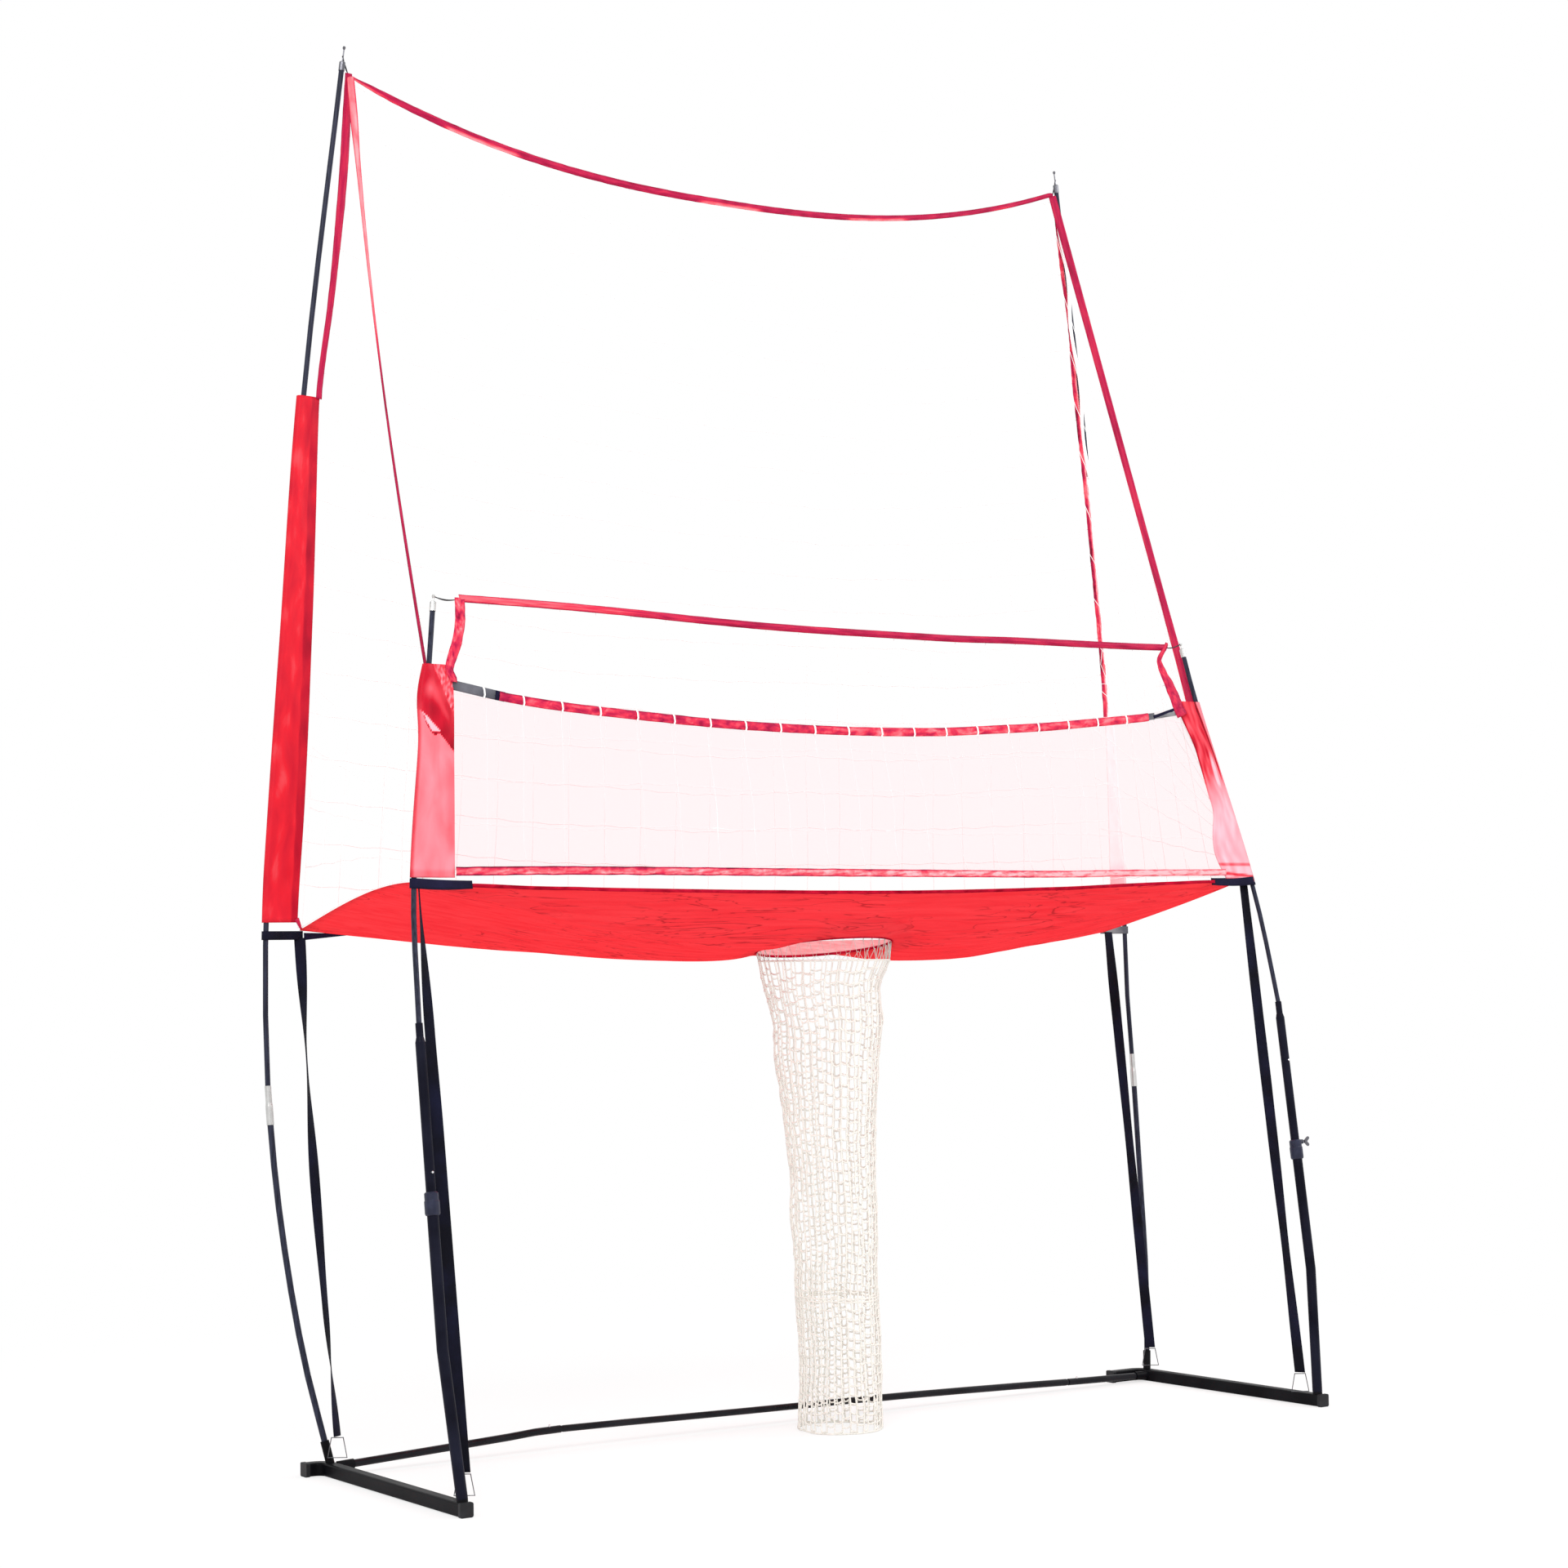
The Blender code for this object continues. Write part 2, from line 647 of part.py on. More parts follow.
def wing_outline(reach, rise, radius):
    """A rounded lobe from the hub out to (reach, rise)."""
    lobe = Vector((reach, rise))
    ends = [(Vector((0, 0)), math.pi), (lobe, 0.0)]
    lean = math.atan2(rise, reach)
    points = []
    for centre, turn in ends:
        for k in range(7):
            angle = lean + turn + math.radians(-90 + 30 * k)
            points.append(centre + radius * Vector((math.cos(angle), math.sin(angle))))
    return points


def make_thumbscrew(name, side):
    """A screw through the collar's boss with a hub and two rounded wings."""
    out = Vector(THUMBSCREW_AXIS[name]).normalized()
    centre = front_axis(side, THUMBSCREW_Z)
    tip = MIDDLE_TUBE_RADIUS + FIT
    end = tip + SCREW_LENGTH
    profile = [
        (0, end), (0.0035, end - 0.001), (0.0050, end - 0.007), (0.0042, end - 0.010),
        (SCREW_RADIUS, end - 0.0105), (SCREW_RADIUS, tip + 0.001), (SCREW_RADIUS - 0.001, tip),
        (0, tip),
    ]
    screw = turned(name + "_front_thumbscrew", profile, centre, out, "screw_steel", steps=12)
    for label, reach in (("upper", WING_REACH), ("lower", -WING_REACH)):
        curve = bpy.data.curves.new(label, "CURVE")
        curve.dimensions = "2D"
        curve.fill_mode = "BOTH"
        curve.extrude = WING_THICKNESS / 2
        outline = wing_outline(reach, WING_RISE, WING_RADIUS)
        spline = curve.splines.new("POLY")
        spline.points.add(len(outline) - 1)
        for knot, place in zip(spline.points, outline):
            knot.co = (place.x, place.y, 0, 1)
        spline.use_cyclic_u = True
        wing = mesh_from_curve(f"{name}_{label}_wing", curve)
        wing.transform(axis_matrix(centre + out * (end - 0.007), out)
                       @ Matrix.Rotation(math.radians(90), 4, "X"))
        weld_on(screw, add_cutter(f"{name}_{label}_wing", wing))
    return screw


def make_middle_tube(name, side, parent):
    """The sliding tube, drawn in at its top to hold the thin rod."""
    low = front_axis(side, MIDDLE_TUBE_BOTTOM_Z)
    length = (MIDDLE_TUBE_TOP_Z - MIDDLE_TUBE_BOTTOM_Z) * SLIDE_STRETCH
    grip = ROD_RADIUS + FIT
    shoulder = length - NECK_LENGTH - 0.012
    profile = [
        (NECK_RADIUS, length), (NECK_RADIUS, length - NECK_LENGTH),
        (MIDDLE_TUBE_RADIUS, shoulder), (MIDDLE_TUBE_RADIUS, 0),
        (MIDDLE_TUBE_BORE, 0), (MIDDLE_TUBE_BORE, shoulder - 0.002),
        (grip, length - NECK_LENGTH - 0.002), (grip, length),
    ]
    tube = turned(name + "_front_middle_tube", profile, low, SLIDE_AXIS, "tube_steel", parent,
                  ring=True)
    centre = front_axis(side, BUTTON_Z[name])
    hole = cylinder(name + "_button_hole", centre, BUTTON_AXIS, BUTTON_RADIUS + FIT, 0.02, 12)
    cut(tube, add_cutter(name + "_button_hole", hole))
    make_button(name + "_front_button", centre, BUTTON_AXIS, MIDDLE_TUBE_RADIUS, MIDDLE_TUBE_BORE,
                parent)


def rod_route():
    """The thin rod's centre line, from its seat in the middle tube to its top."""
    return [front_axis(1, MIDDLE_TUBE_TOP_Z - ROD_DEPTH), *map(Vector, ROD_ROUTE)]


def make_front_rod(name, side, parent):
    route = rod_route()
    heights = [route[0].z, MIDDLE_TUBE_TOP_Z] + [mix(MIDDLE_TUBE_TOP_Z, route[-1].z, k / 12)
                                                 for k in range(1, 13)]
    points = [mirrored(at_height(route, z), side) for z in heights]
    rod = pipe(name + "_front_rod", points, ROD_RADIUS, 12)
    add_part(name + "_front_rod", rod, "rod_glass_fibre", parent)
    top = points[-1]
    make_tip(name + "_front_tip", top, (top - points[-2]).normalized(), ROD_RADIUS, 0.020, parent)


def make_tip(name, top, axis, radius, length, parent=None):
    """A metal cap over a rod's end, with a thin pin and a knob to tie the net's cord to."""
    grip, skin, pin = radius + FIT, radius + FIT + 0.0008, 0.0016
    profile = [
        (0, length), (KNOB_RADIUS * 0.7, length - 0.001), (KNOB_RADIUS, length - KNOB_RADIUS),
        (KNOB_RADIUS * 0.7, length - 2 * KNOB_RADIUS), (pin, length - 2 * KNOB_RADIUS - 0.001),
        (pin, 0.004), (skin - 0.002, 0.003), (skin, 0.001), (skin, -TIP_SKIRT), (grip, -TIP_SKIRT),
        (grip, GAP), (0, GAP),
    ]
    return turned(name, profile, top, axis, "tip_metal", parent, steps=10)


def make_back_pole(name, side):
    """Two rods, the ferrule that joins them and the tip."""
    lower = [mirrored(p, side) for p in rising(BACK_ROUTE, POLE_FOOT_Z, FERRULE_Z[0], 8)]
    upper = [mirrored(p, side) for p in rising(BACK_ROUTE, FERRULE_Z[1], BACK_ROUTE[-1][2], 15)]
    low, high = lower[-1], upper[0]
    middle = (low + high) / 2
    axis = (high - low).normalized()
    lower.append(middle - axis * GAP)
    upper.insert(0, middle + axis * GAP)
    add_part(name + "_back_lower_pole", pipe(name + "_lower", lower, LOWER_POLE_RADIUS),
             "rod_glass_fibre")
    add_part(name + "_back_upper_pole", pipe(name + "_upper", upper, UPPER_POLE_RADIUS),
             "rod_glass_fibre")
    half = (high - low).length / 2
    wide, slim = LOWER_POLE_RADIUS + FIT, UPPER_POLE_RADIUS + FIT
    profile = [
        (slim + FERRULE_WALL, half), (slim + FERRULE_WALL, 0.006), (wide + FERRULE_WALL, -0.002),
        (wide + FERRULE_WALL, -half), (wide, -half), (wide, -0.001), (slim, 0.003), (slim, half),
    ]
    turned(name + "_back_ferrule", profile, middle, axis, "tip_metal", ring=True)
    top = upper[-1]
    make_tip(name + "_back_tip", top, (top - upper[-2]).normalized(), UPPER_POLE_RADIUS, TIP_LENGTH)


def pocket(name, centre, tail, radius, rows, material, parent=None, thickness=0.0012):
    """Cloth folded round a pole: out from its tail, round the pole and back to the tail.

    centre(v) is the pole's centre and tail(v) the tail's end, v being 0 at the foot and 1 at
    the top. The two layers close on each other towards the tail.
    """
    flat, turn = 4, 8
    columns = 2 * flat + turn

    def patch(u, v):
        middle, end = centre(v), tail(v)
        along = Vector((end.x - middle.x, end.y - middle.y, 0)).normalized()
        across = Vector((-along.y, along.x, 0))
        step = u * columns
        if step < flat or step > columns - flat:
            share = step / flat if step < flat else (columns - step) / flat
            side = 1 if step < flat else -1
            width = mix(thickness, radius, share)
            return mix(end, middle, share) + across * side * width
        angle = math.pi * (step - flat) / turn
        return middle + radius * (across * math.cos(angle) - along * math.sin(angle))

    return sheet(name, patch, columns, rows, material, parent, thickness=thickness)


def make_back_fabric(name, side):
    """The sleeve round a back pole and the webbing loop that ties the tray to the pole."""
    def on_pole(low, high):
        return lambda v: mirrored(at_height(BACK_ROUTE, mix(low, high, v)), side)

    low, high = BACK_SLEEVE_Z

    def sleeve_tail(v):
        z = mix(low, high, v)
        return Vector((side * mix(*BACK_SLEEVE_TAIL_X, v), NET_Y, z))

    pocket(name + "_back_sleeve", on_pole(low, high), sleeve_tail, UPPER_POLE_RADIUS + 0.0025,
           7, "sleeve_nylon")
    low, high = BACK_LOOP_Z - WEBBING_HEIGHT / 2, BACK_LOOP_Z + WEBBING_HEIGHT / 2

    def loop_tail(v):
        return Vector((side * BACK_LOOP_TAIL_X, NET_Y, mix(low, high, v)))

    pocket(name + "_back_corner_loop", on_pole(low, high), loop_tail, UPPER_POLE_RADIUS + 0.002,
           1, "webbing", thickness=0.0015)


def make_front_fabric(name, side, parent):
    """The sleeve round a front rod and the webbing loop beside the tray's hem."""
    route = rod_route()

    def on_rod(low, high):
        return lambda v: mirrored(at_height(route, mix(low, high, v)), side)

    low, high = FRONT_SLEEVE_Z

    def sleeve_tail(v):
        z = mix(low, high, v)
        return Vector((side * mix(*FRONT_SLEEVE_TAIL_X, v), front_y(z), z))

    pocket(name + "_front_sleeve", on_rod(low, high), sleeve_tail, ROD_RADIUS + 0.0025, 4,
           "sleeve_nylon", parent)
    low, high = FRONT_LOOP_Z - WEBBING_HEIGHT / 2, FRONT_LOOP_Z + WEBBING_HEIGHT / 2

    def loop_tail(v):
        z = mix(low, high, v)
        return Vector((side * FRONT_LOOP_TAIL_X, front_y(z), z))

    pocket(name + "_front_corner_loop", on_rod(low, high), loop_tail, ROD_RADIUS + 0.002, 1,
           "webbing", parent, thickness=0.0015)


def front_y(z):
    """The front net hangs in the plane of the two rods."""
    return at_height(rod_route(), z).y


def tray_back_z(x):
    return TRAY_BACK_LOW_Z + TRAY_BACK_RISE * (abs(x) / TRAY_BACK_X) ** 1.3


def tray_outline():
    """Points round the tray: along the hem, back up the right side, along the net and down."""
    low = HEM_Z - CORNER_DROP
    corner = [(x, TRAY_FRONT_Y, low) for x in (TRAY_FRONT_X, 1.155, HEM_HALF_WIDTH + 0.006)]
    hem = [(mix(-HEM_HALF_WIDTH, HEM_HALF_WIDTH, k / 10), TRAY_FRONT_Y, HEM_Z) for k in range(11)]
    side = [
        (mix(TRAY_FRONT_X, TRAY_BACK_X, k / 6), mix(TRAY_FRONT_Y, TRAY_BACK_Y, k / 6),
         mix(low, tray_back_z(TRAY_BACK_X), k / 6) + SIDE_BOW * math.sin(math.pi * k / 6))
        for k in range(1, 6)
    ]
    across = [mix(TRAY_BACK_X, -TRAY_BACK_X, k / 10) for k in range(11)]
    back = [(x, TRAY_BACK_Y, tray_back_z(x)) for x in across]
    left_corner = [(-x, y, z) for x, y, z in corner]
    left_side = [(-x, y, z) for x, y, z in reversed(side)]
    return [Vector(p) for p in (*left_corner, *hem, *reversed(corner), *side, *back, *left_side)]


def make_tray():
    """A sheet that falls from its four edges to the rim of the round hole."""
    centre = Vector(HOLE_CENTRE)
    outline = tray_outline()

    def patch(u, v):
        edge = outline[round(u * len(outline)) % len(outline)]
        out = Vector((edge.x - centre.x, edge.y - centre.y, 0)).normalized()
        rim = centre + out * HOLE_RADIUS
        rim.z -= HOLE_TILT * out.y
        point = mix(rim, edge, v)
        point.z -= 0.010 * math.sin(math.pi * v) * (edge.z - rim.z) / 0.15
        if out.x > 0:
            point.z -= BELLY * out.x * math.sin(math.pi * v ** 0.6)
        return point

    tray = sheet("tray", patch, len(outline), 4, "tray_nylon", closed=True)
    ring = []
    for k in range(24):
        angle = math.radians(15 * k)
        point = centre + HOLE_RADIUS * Vector((math.cos(angle), math.sin(angle), 0))
        point.z -= HOLE_TILT * math.sin(angle)
        ring.append(point)
    rim = pipe("hole_rim", ring, HOLE_RIM, 6, closed=True)
    weld_on(tray, add_cutter("hole_rim", rim))


def make_chute():
    """The net tube that hangs from the tray's hole to the ground, open at both ends."""
    route = [Vector((x, y, z)) for x, y, z, _ in CHUTE_SECTIONS]
    widths = [Vector((radius, 0, z)) for _, _, z, radius in CHUTE_SECTIONS]
    low, high = route[0].z, route[-1].z - 0.008

    def patch(u, v):
        z = mix(low, high, v)
        centre = at_height(route, z)
        radius = at_height(widths, z).x
        angle = 2 * math.pi * u
        lean = HOLE_TILT * max(0, (v - 0.6) / 0.4)
        return centre + Vector((radius * math.cos(angle), radius * math.sin(angle),
                                -lean * math.sin(angle)))

    sheet("chute_net", patch, 24, 5, "net_cord", closed=True)


def make_back_net():
    def tape_z(x):
        return BACK_TAPE_LOW_Z + BACK_TAPE_RISE * (abs(x) / BACK_TAPE_X) ** 2.4

    def tape_patch(u, v):
        x = mix(-BACK_TAPE_X, BACK_TAPE_X, u)
        return Vector((x, NET_Y, tape_z(x) + TAPE_WIDTH * (v - 0.5)))

    def net_patch(u, v):
        across = 2 * u - 1
        low = tray_back_z(across * BACK_NET_EDGE[0][0]) + 0.006
        high = tape_z(across * BACK_NET_EDGE[-1][0]) - TAPE_WIDTH / 2 - 0.004
        z = mix(low, high, v)
        edge = at_height(BACK_NET_EDGE, mix(BACK_NET_EDGE[0][2], BACK_NET_EDGE[-1][2] - 0.03, v)).x
        return Vector((across * edge, NET_Y, z))

    sheet("back_net_top_tape", tape_patch, 20, 1, "tape_nylon")
    cord_net("back_net", net_patch, 12, 7)


def make_front_net(parent):
    """The square cord net with its tape, and the fine mesh panel that hangs behind it."""
    def tape_patch(u, v):
        z = mix(*FRONT_TAPE_Z, v)
        return Vector((mix(-1.058, 1.058, u), front_y(z), z))

    def net_patch(u, v):
        z = mix(FRONT_TRIM_Z[1] - 0.004, FRONT_TAPE_Z[0] - 0.0035, v)
        return Vector(((2 * u - 1) * (at_height(FRONT_NET_EDGE, z).x - 0.002), front_y(z) - 0.0035,
                       z))

    def panel_patch(u, v):
        across = 2 * u - 1
        top = mix(PANEL_TOP_Z[0], PANEL_TOP_Z[1], abs(across) ** 2.6)
        z = mix(FRONT_TRIM_Z[0], top, v)
        return Vector((across * (at_height(FRONT_NET_EDGE, z).x - 0.001), front_y(z) + 0.0005, z))

    sheet("front_net_top_tape", tape_patch, 8, 1, "tape_nylon", parent)
    cord_net("front_net", net_patch, 18, 5, parent)
    sheet("front_panel", panel_patch, 16, 4, "panel_mesh", parent)


def make_side_net(name, side):
    corners = [mirrored(point, side) for point in SIDE_NET_CORNERS]
    low_back, low_front, high_front, high_back = corners

    def net_patch(u, v):
        return mix(mix(low_back, high_back, v), mix(low_front, high_front, v), u)

    start, end = (mirrored(point, side) for point in SIDE_TAPE_ENDS)
    line = (end - start).normalized()
    down = low_back - high_back
    inward = (down - line * down.dot(line)).normalized()

    def tape_patch(u, v):
        return mix(start, end, u) + inward * SIDE_TAPE_WIDTH * v

    cord_net(f"{name}_side_net", net_patch, 4, 7)
    sheet(f"{name}_side_tape", tape_patch, 12, 1, "tape_nylon")


def make_strap(name, place, side):
    """A tension strap from the tray's corner to the foot, twisted as it hangs."""
    low, high = (mirrored(point, side) for point in STRAP_ENDS[place])
    turns = STRAP_TURN[f"{name}_{place}"]

    def patch(u, v):
        span = min(int(v * 4), 3)
        share = v * 4 - span
        ease = share * share * (3 - 2 * share)
        angle = math.radians(mix(turns[span], turns[span + 1], ease))
        width = Vector((math.cos(angle), -math.sin(angle), 0)) * STRAP_WIDTH
        return mix(low, high, v) + width * (u - 0.5)

    sheet(f"{name}_{place}_strap", patch, 1, 20, "webbing", thickness=0.0018)
    flat = Vector((math.cos(math.radians(turns[0])), -math.sin(math.radians(turns[0])), 0))
    top = low - Vector((0, 0, RING_WIRE + 0.0015))
    foot = top - Vector((0, 0, RING_HEIGHT))
    half = STRAP_WIDTH / 2
    corners = [top - flat * half, top + flat * half, foot + flat * RING_WIDTH / 2,
               foot - flat * RING_WIDTH / 2]
    ring = pipe(f"{name}_{place}_strap_ring", corners, RING_WIRE, 8, closed=True)
    add_part(f"{name}_{place}_strap_ring", ring, "tip_metal")


def put_origin_under_middle():
    """Moves the layout so that the origin is under the middle of the net's box."""
    bpy.context.view_layer.update()
    graph = bpy.context.evaluated_depsgraph_get()
    points = []
    for obj in NET.objects:
        if obj.type == "MESH":
            body = obj.evaluated_get(graph)
            points += [body.matrix_world @ vert.co for vert in body.data.vertices]
    low = [min(point[k] for point in points) for k in range(3)]
    high = [max(point[k] for point in points) for k in range(3)]
    LAYOUT.location = [-(low[0] + high[0]) / 2, -(low[1] + high[1]) / 2, -low[2]]
    print("layout moved by", [round(value, 5) for value in LAYOUT.location])
    print("box", [round(high[k] - low[k], 4) for k in range(3)])


def main():
    make_ground_tube()
    make_ground_buttons()
    for name, side in SIDES.items():
        slide = axis_marker(name + "_front_slide", front_axis(side, COLLAR_Z))
        make_foot(name, side)
        make_foot_caps(name, side)
        make_outer_tube(name, side)
        make_collar(name, side)
        make_thumbscrew(name, side)
        make_middle_tube(name, side, slide)
        make_front_rod(name, side, slide)
        make_front_fabric(name, side, slide)
        make_back_pole(name, side)
        make_back_fabric(name, side)
        make_side_net(name, side)
        for place in STRAP_ENDS:
            make_strap(name, place, side)
        if name == "left":
            make_front_net(slide)
    make_tray()
    make_chute()
    make_back_net()
    put_origin_under_middle()


main()
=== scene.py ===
# %% [markdown]
# # A volleyball practice net
#
# A tall back net and a low front net hang between bowed poles. A red cloth tray slopes from the
# front net down to the back one, and a round hole in it opens into a tube of white cord that
# stands on the ground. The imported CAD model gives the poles, feet, tubes, collars and screws at
# their real size. This script gives those a finish, and makes the cloth, webbing and netting.

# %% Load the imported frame
import math

import bmesh
import bpy
from mathutils import Matrix, Vector, noise


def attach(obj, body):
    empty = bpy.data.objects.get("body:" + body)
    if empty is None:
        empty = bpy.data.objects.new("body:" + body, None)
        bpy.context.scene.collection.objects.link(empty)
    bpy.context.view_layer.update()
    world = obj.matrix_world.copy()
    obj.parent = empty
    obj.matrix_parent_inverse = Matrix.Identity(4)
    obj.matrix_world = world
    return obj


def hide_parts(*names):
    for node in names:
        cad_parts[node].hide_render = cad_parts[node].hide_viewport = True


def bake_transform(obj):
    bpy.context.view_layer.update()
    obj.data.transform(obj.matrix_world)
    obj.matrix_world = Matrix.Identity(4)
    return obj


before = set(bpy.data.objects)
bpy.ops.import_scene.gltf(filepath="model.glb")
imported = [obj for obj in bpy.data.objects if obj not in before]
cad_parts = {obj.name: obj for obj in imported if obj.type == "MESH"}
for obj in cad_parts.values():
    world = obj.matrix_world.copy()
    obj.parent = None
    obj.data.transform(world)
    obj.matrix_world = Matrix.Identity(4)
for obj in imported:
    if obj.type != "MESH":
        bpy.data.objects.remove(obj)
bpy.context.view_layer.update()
scene = bpy.context.scene

# %% [markdown]
# The net was designed about the line through the feet of its back poles, and the model stands with
# its origin under the middle of its box. One number turns the design's depth into the model's.

# %% Places in the model
DEPTH = 0.25611
SIDES = {"left": -1, "right": 1}


def place(x, y, z):
    """A point of the design, as the model has it."""
    return Vector((x, y + DEPTH, z))


def place_on(side, spot):
    """A point that is given for the right side, on either side of the model."""
    x, y, z = spot
    return place(SIDES[side] * x, y, z)


def mix(a, b, share):
    return a + (b - a) * share


def smooth(share):
    share = min(max(share, 0.0), 1.0)
    return share * share * (3 - 2 * share)


def on_route(route, z):
    """The point at height z on the smooth curve through a route whose points rise."""
    knots = [Vector(point) for point in route]
    last = len(knots) - 1
    i = next((k for k in range(last) if z <= knots[k + 1].z), last - 1)

    def slope(k):
        low, high = knots[max(k - 1, 0)], knots[min(k + 1, last)]
        return (high - low) / (high.z - low.z)

    span = knots[i + 1].z - knots[i].z
    t = (z - knots[i].z) / span
    start = knots[i] * (1 + 2 * t) * (1 - t) ** 2 + slope(i) * span * t * (1 - t) ** 2
    end = knots[i + 1] * t * t * (3 - 2 * t) - slope(i + 1) * span * t * t * (1 - t)
    return start + end


def height_at(table, x):
    """The height at x on a smooth line through (x, height) pairs."""
    x = min(max(x, table[0][0]), table[-1][0])
    return on_route([(height, 0, spot) for spot, height in table], x).x


FRONT_ROD = (
    (1.2625, -0.5228, 0.973), (1.2625, -0.5144, 1.033), (1.240, -0.452, 1.339),
    (1.146, -0.352, 1.828), (1.122, -0.328, 1.971),
)
BACK_POLE = (
    (1.230, 0.000, 0.036), (1.275, 0.047, 0.285), (1.304, 0.099, 0.585), (1.316, 0.131, 0.850),
    (1.315, 0.149, 1.085), (1.307, 0.148, 1.400), (1.212, 0.146, 2.505), (1.108, 0.140, 3.328),
)
NET_Y = 0.1455


def front_y(z):
    """The front net hangs in the plane of the two rods."""
    return on_route(FRONT_ROD, z).y


print("front net from y", round(front_y(1.36), 3), "to", round(front_y(1.98), 3))

# %% [markdown]
# The photograph was taken from the front left with a fairly long lens, at about hip height, so the
# tray is seen from just below. The camera's place, turn and lens were fitted to the poles and feet.

# %% The camera
YAW, PITCH, ROLL = 0.602, 0.06058, -0.01466
EYE = (-4.31762, -6.36192, 1.13997)
SENSOR = 36
FOCAL_PIXELS, PICTURE_PIXELS = 3714.92, 1920


def new_object(name, data):
    """An object at the origin, linked to the scene."""
    obj = bpy.data.objects.new(name, data)
    scene.collection.objects.link(obj)
    return obj


ahead = Vector((math.sin(YAW), math.cos(YAW), 0))
right = Vector((math.cos(YAW), -math.sin(YAW), 0))
up = Vector((0, 0, 1))
look = ahead * math.cos(PITCH) + up * math.sin(PITCH)
above = up * math.cos(PITCH) - ahead * math.sin(PITCH)
across = right * math.cos(ROLL) + above * math.sin(ROLL)
above = above * math.cos(ROLL) - right * math.sin(ROLL)

lens = bpy.data.cameras.new("camera")
lens.lens = SENSOR * FOCAL_PIXELS / PICTURE_PIXELS
lens.sensor_width = SENSOR
lens.clip_end = 100
facing = Matrix((across, above, -look)).transposed().to_4x4()
facing.translation = place(*EYE)
scene.camera = new_object("camera", lens)
scene.camera.matrix_world = facing
print("lens", round(lens.lens, 2), "mm")

# %% [markdown]
# The world and every finish are graphs of shader nodes. One call of add_node makes a node and
# gives its sockets their values or links, so a graph reads from its textures to its surface.

# %% Building with shader nodes
def set_sockets(tree, node, sockets):
    """Gives each socket a plain value or a link from another node's output."""
    for key, value in sockets.items():
        if isinstance(value, bpy.types.NodeSocket):
            tree.links.new(value, node.inputs[key])
        else:
            node.inputs[key].default_value = value
    return node


def add_node(tree, kind, sockets, **options):
    node = tree.nodes.new("ShaderNode" + kind)
    for option, value in options.items():
        setattr(node, option, value)
    return set_sockets(tree, node, sockets)


def math_node(tree, operation, *values):
    return add_node(tree, "Math", dict(enumerate(values)), operation=operation).outputs[0]


def new_material(name):
    """A node material, its node tree and its Principled shader."""
    material = bpy.data.materials.new(name)
    material.use_nodes = True
    return material, material.node_tree, material.node_tree.nodes["Principled BSDF"]


def show(tree, shader):
    """Makes a shader the material's surface."""
    set_sockets(tree, tree.nodes["Material Output"], {"Surface": shader.outputs[0]})


def rays(tree, *kinds):
    """1 on rays of these kinds and 0 on all others."""
    path = add_node(tree, "LightPath", {})
    found = 0.0
    for kind in kinds:
        found = math_node(tree, "MAXIMUM", found, path.outputs[f"Is {kind} Ray"])
    return found


def mix_shaders(tree, share, first, second):
    return add_node(tree, "MixShader", {"Fac": share, 1: first.outputs[0], 2: second.outputs[0]})


# %% [markdown]
# Two large soft lamps and a white surround show the colours about as they are written. The
# surround is white to the camera and in reflections, and a little dimmer as a light.

# %% Light
WHITE = (1.0, 1.0, 1.0, 1.0)
LAMP_TARGET, LAMP_SIZE = Vector((0, 0, 1.2)), 4.0


def soft_lamp(name, spot, watts):
    data = bpy.data.lights.new(name, "AREA")
    data.shape = "DISK"
    data.size = LAMP_SIZE
    data.energy = watts
    spot = Vector(spot)
    aim = (LAMP_TARGET - spot).to_track_quat("-Z", "Y").to_matrix().to_4x4()
    new_object(name, data).matrix_world = Matrix.Translation(spot) @ aim


scene.view_settings.view_transform = "Standard"
scene.world = bpy.data.worlds.new("studio")
scene.world.use_nodes = True
tree = scene.world.node_tree
tree.nodes.clear()
seen = add_node(tree, "Background", {"Color": WHITE, "Strength": 1.0})
glow = add_node(tree, "Background", {"Color": WHITE, "Strength": 0.95})
sky = mix_shaders(tree, rays(tree, "Camera", "Glossy", "Transmission"), glow, seen)
add_node(tree, "OutputWorld", {"Surface": sky.outputs[0]})
soft_lamp("key_lamp", (-4.5, -5.5, 6.5), 330)
soft_lamp("fill_lamp", (5.5, -3.5, 5.0), 150)
print("lamps:", len(bpy.data.lights))

# %% [markdown]
# The floor is pale paint that takes the net's shadow. Away from the net it turns into the same
# white as the surround, which the camera sees without a horizon.

# %% The floor
FLOOR_HALF = 30
floor_paint, tree, paint = new_material("floor_paint")
set_sockets(tree, paint, {"Base Color": (0.90, 0.90, 0.90, 1), "Roughness": 0.9,
                          "Specular IOR Level": 0.1})
spot = add_node(tree, "TexCoord", {}).outputs["Object"]
distance = add_node(tree, "VectorMath", {0: spot}, operation="LENGTH").outputs["Value"]
fade = add_node(tree, "MapRange", {"Value": distance, "From Min": 0.8, "From Max": 3.2,
                                   "To Min": 0.62, "To Max": 1.0}).outputs["Result"]
share = math_node(tree, "MULTIPLY", rays(tree, "Camera", "Transmission"), fade)
show(tree, mix_shaders(tree, share, paint, add_node(tree, "Emission", {"Color": WHITE})))
floor_bm = bmesh.new()
bmesh.ops.create_grid(floor_bm, x_segments=1, y_segments=1, size=FLOOR_HALF)
floor_mesh = bpy.data.meshes.new("floor")
floor_bm.to_mesh(floor_mesh)
floor_bm.free()
floor_mesh.materials.append(floor_paint)
floor = new_object("floor", floor_mesh)
print("floor:", 2 * FLOOR_HALF, "m wide")

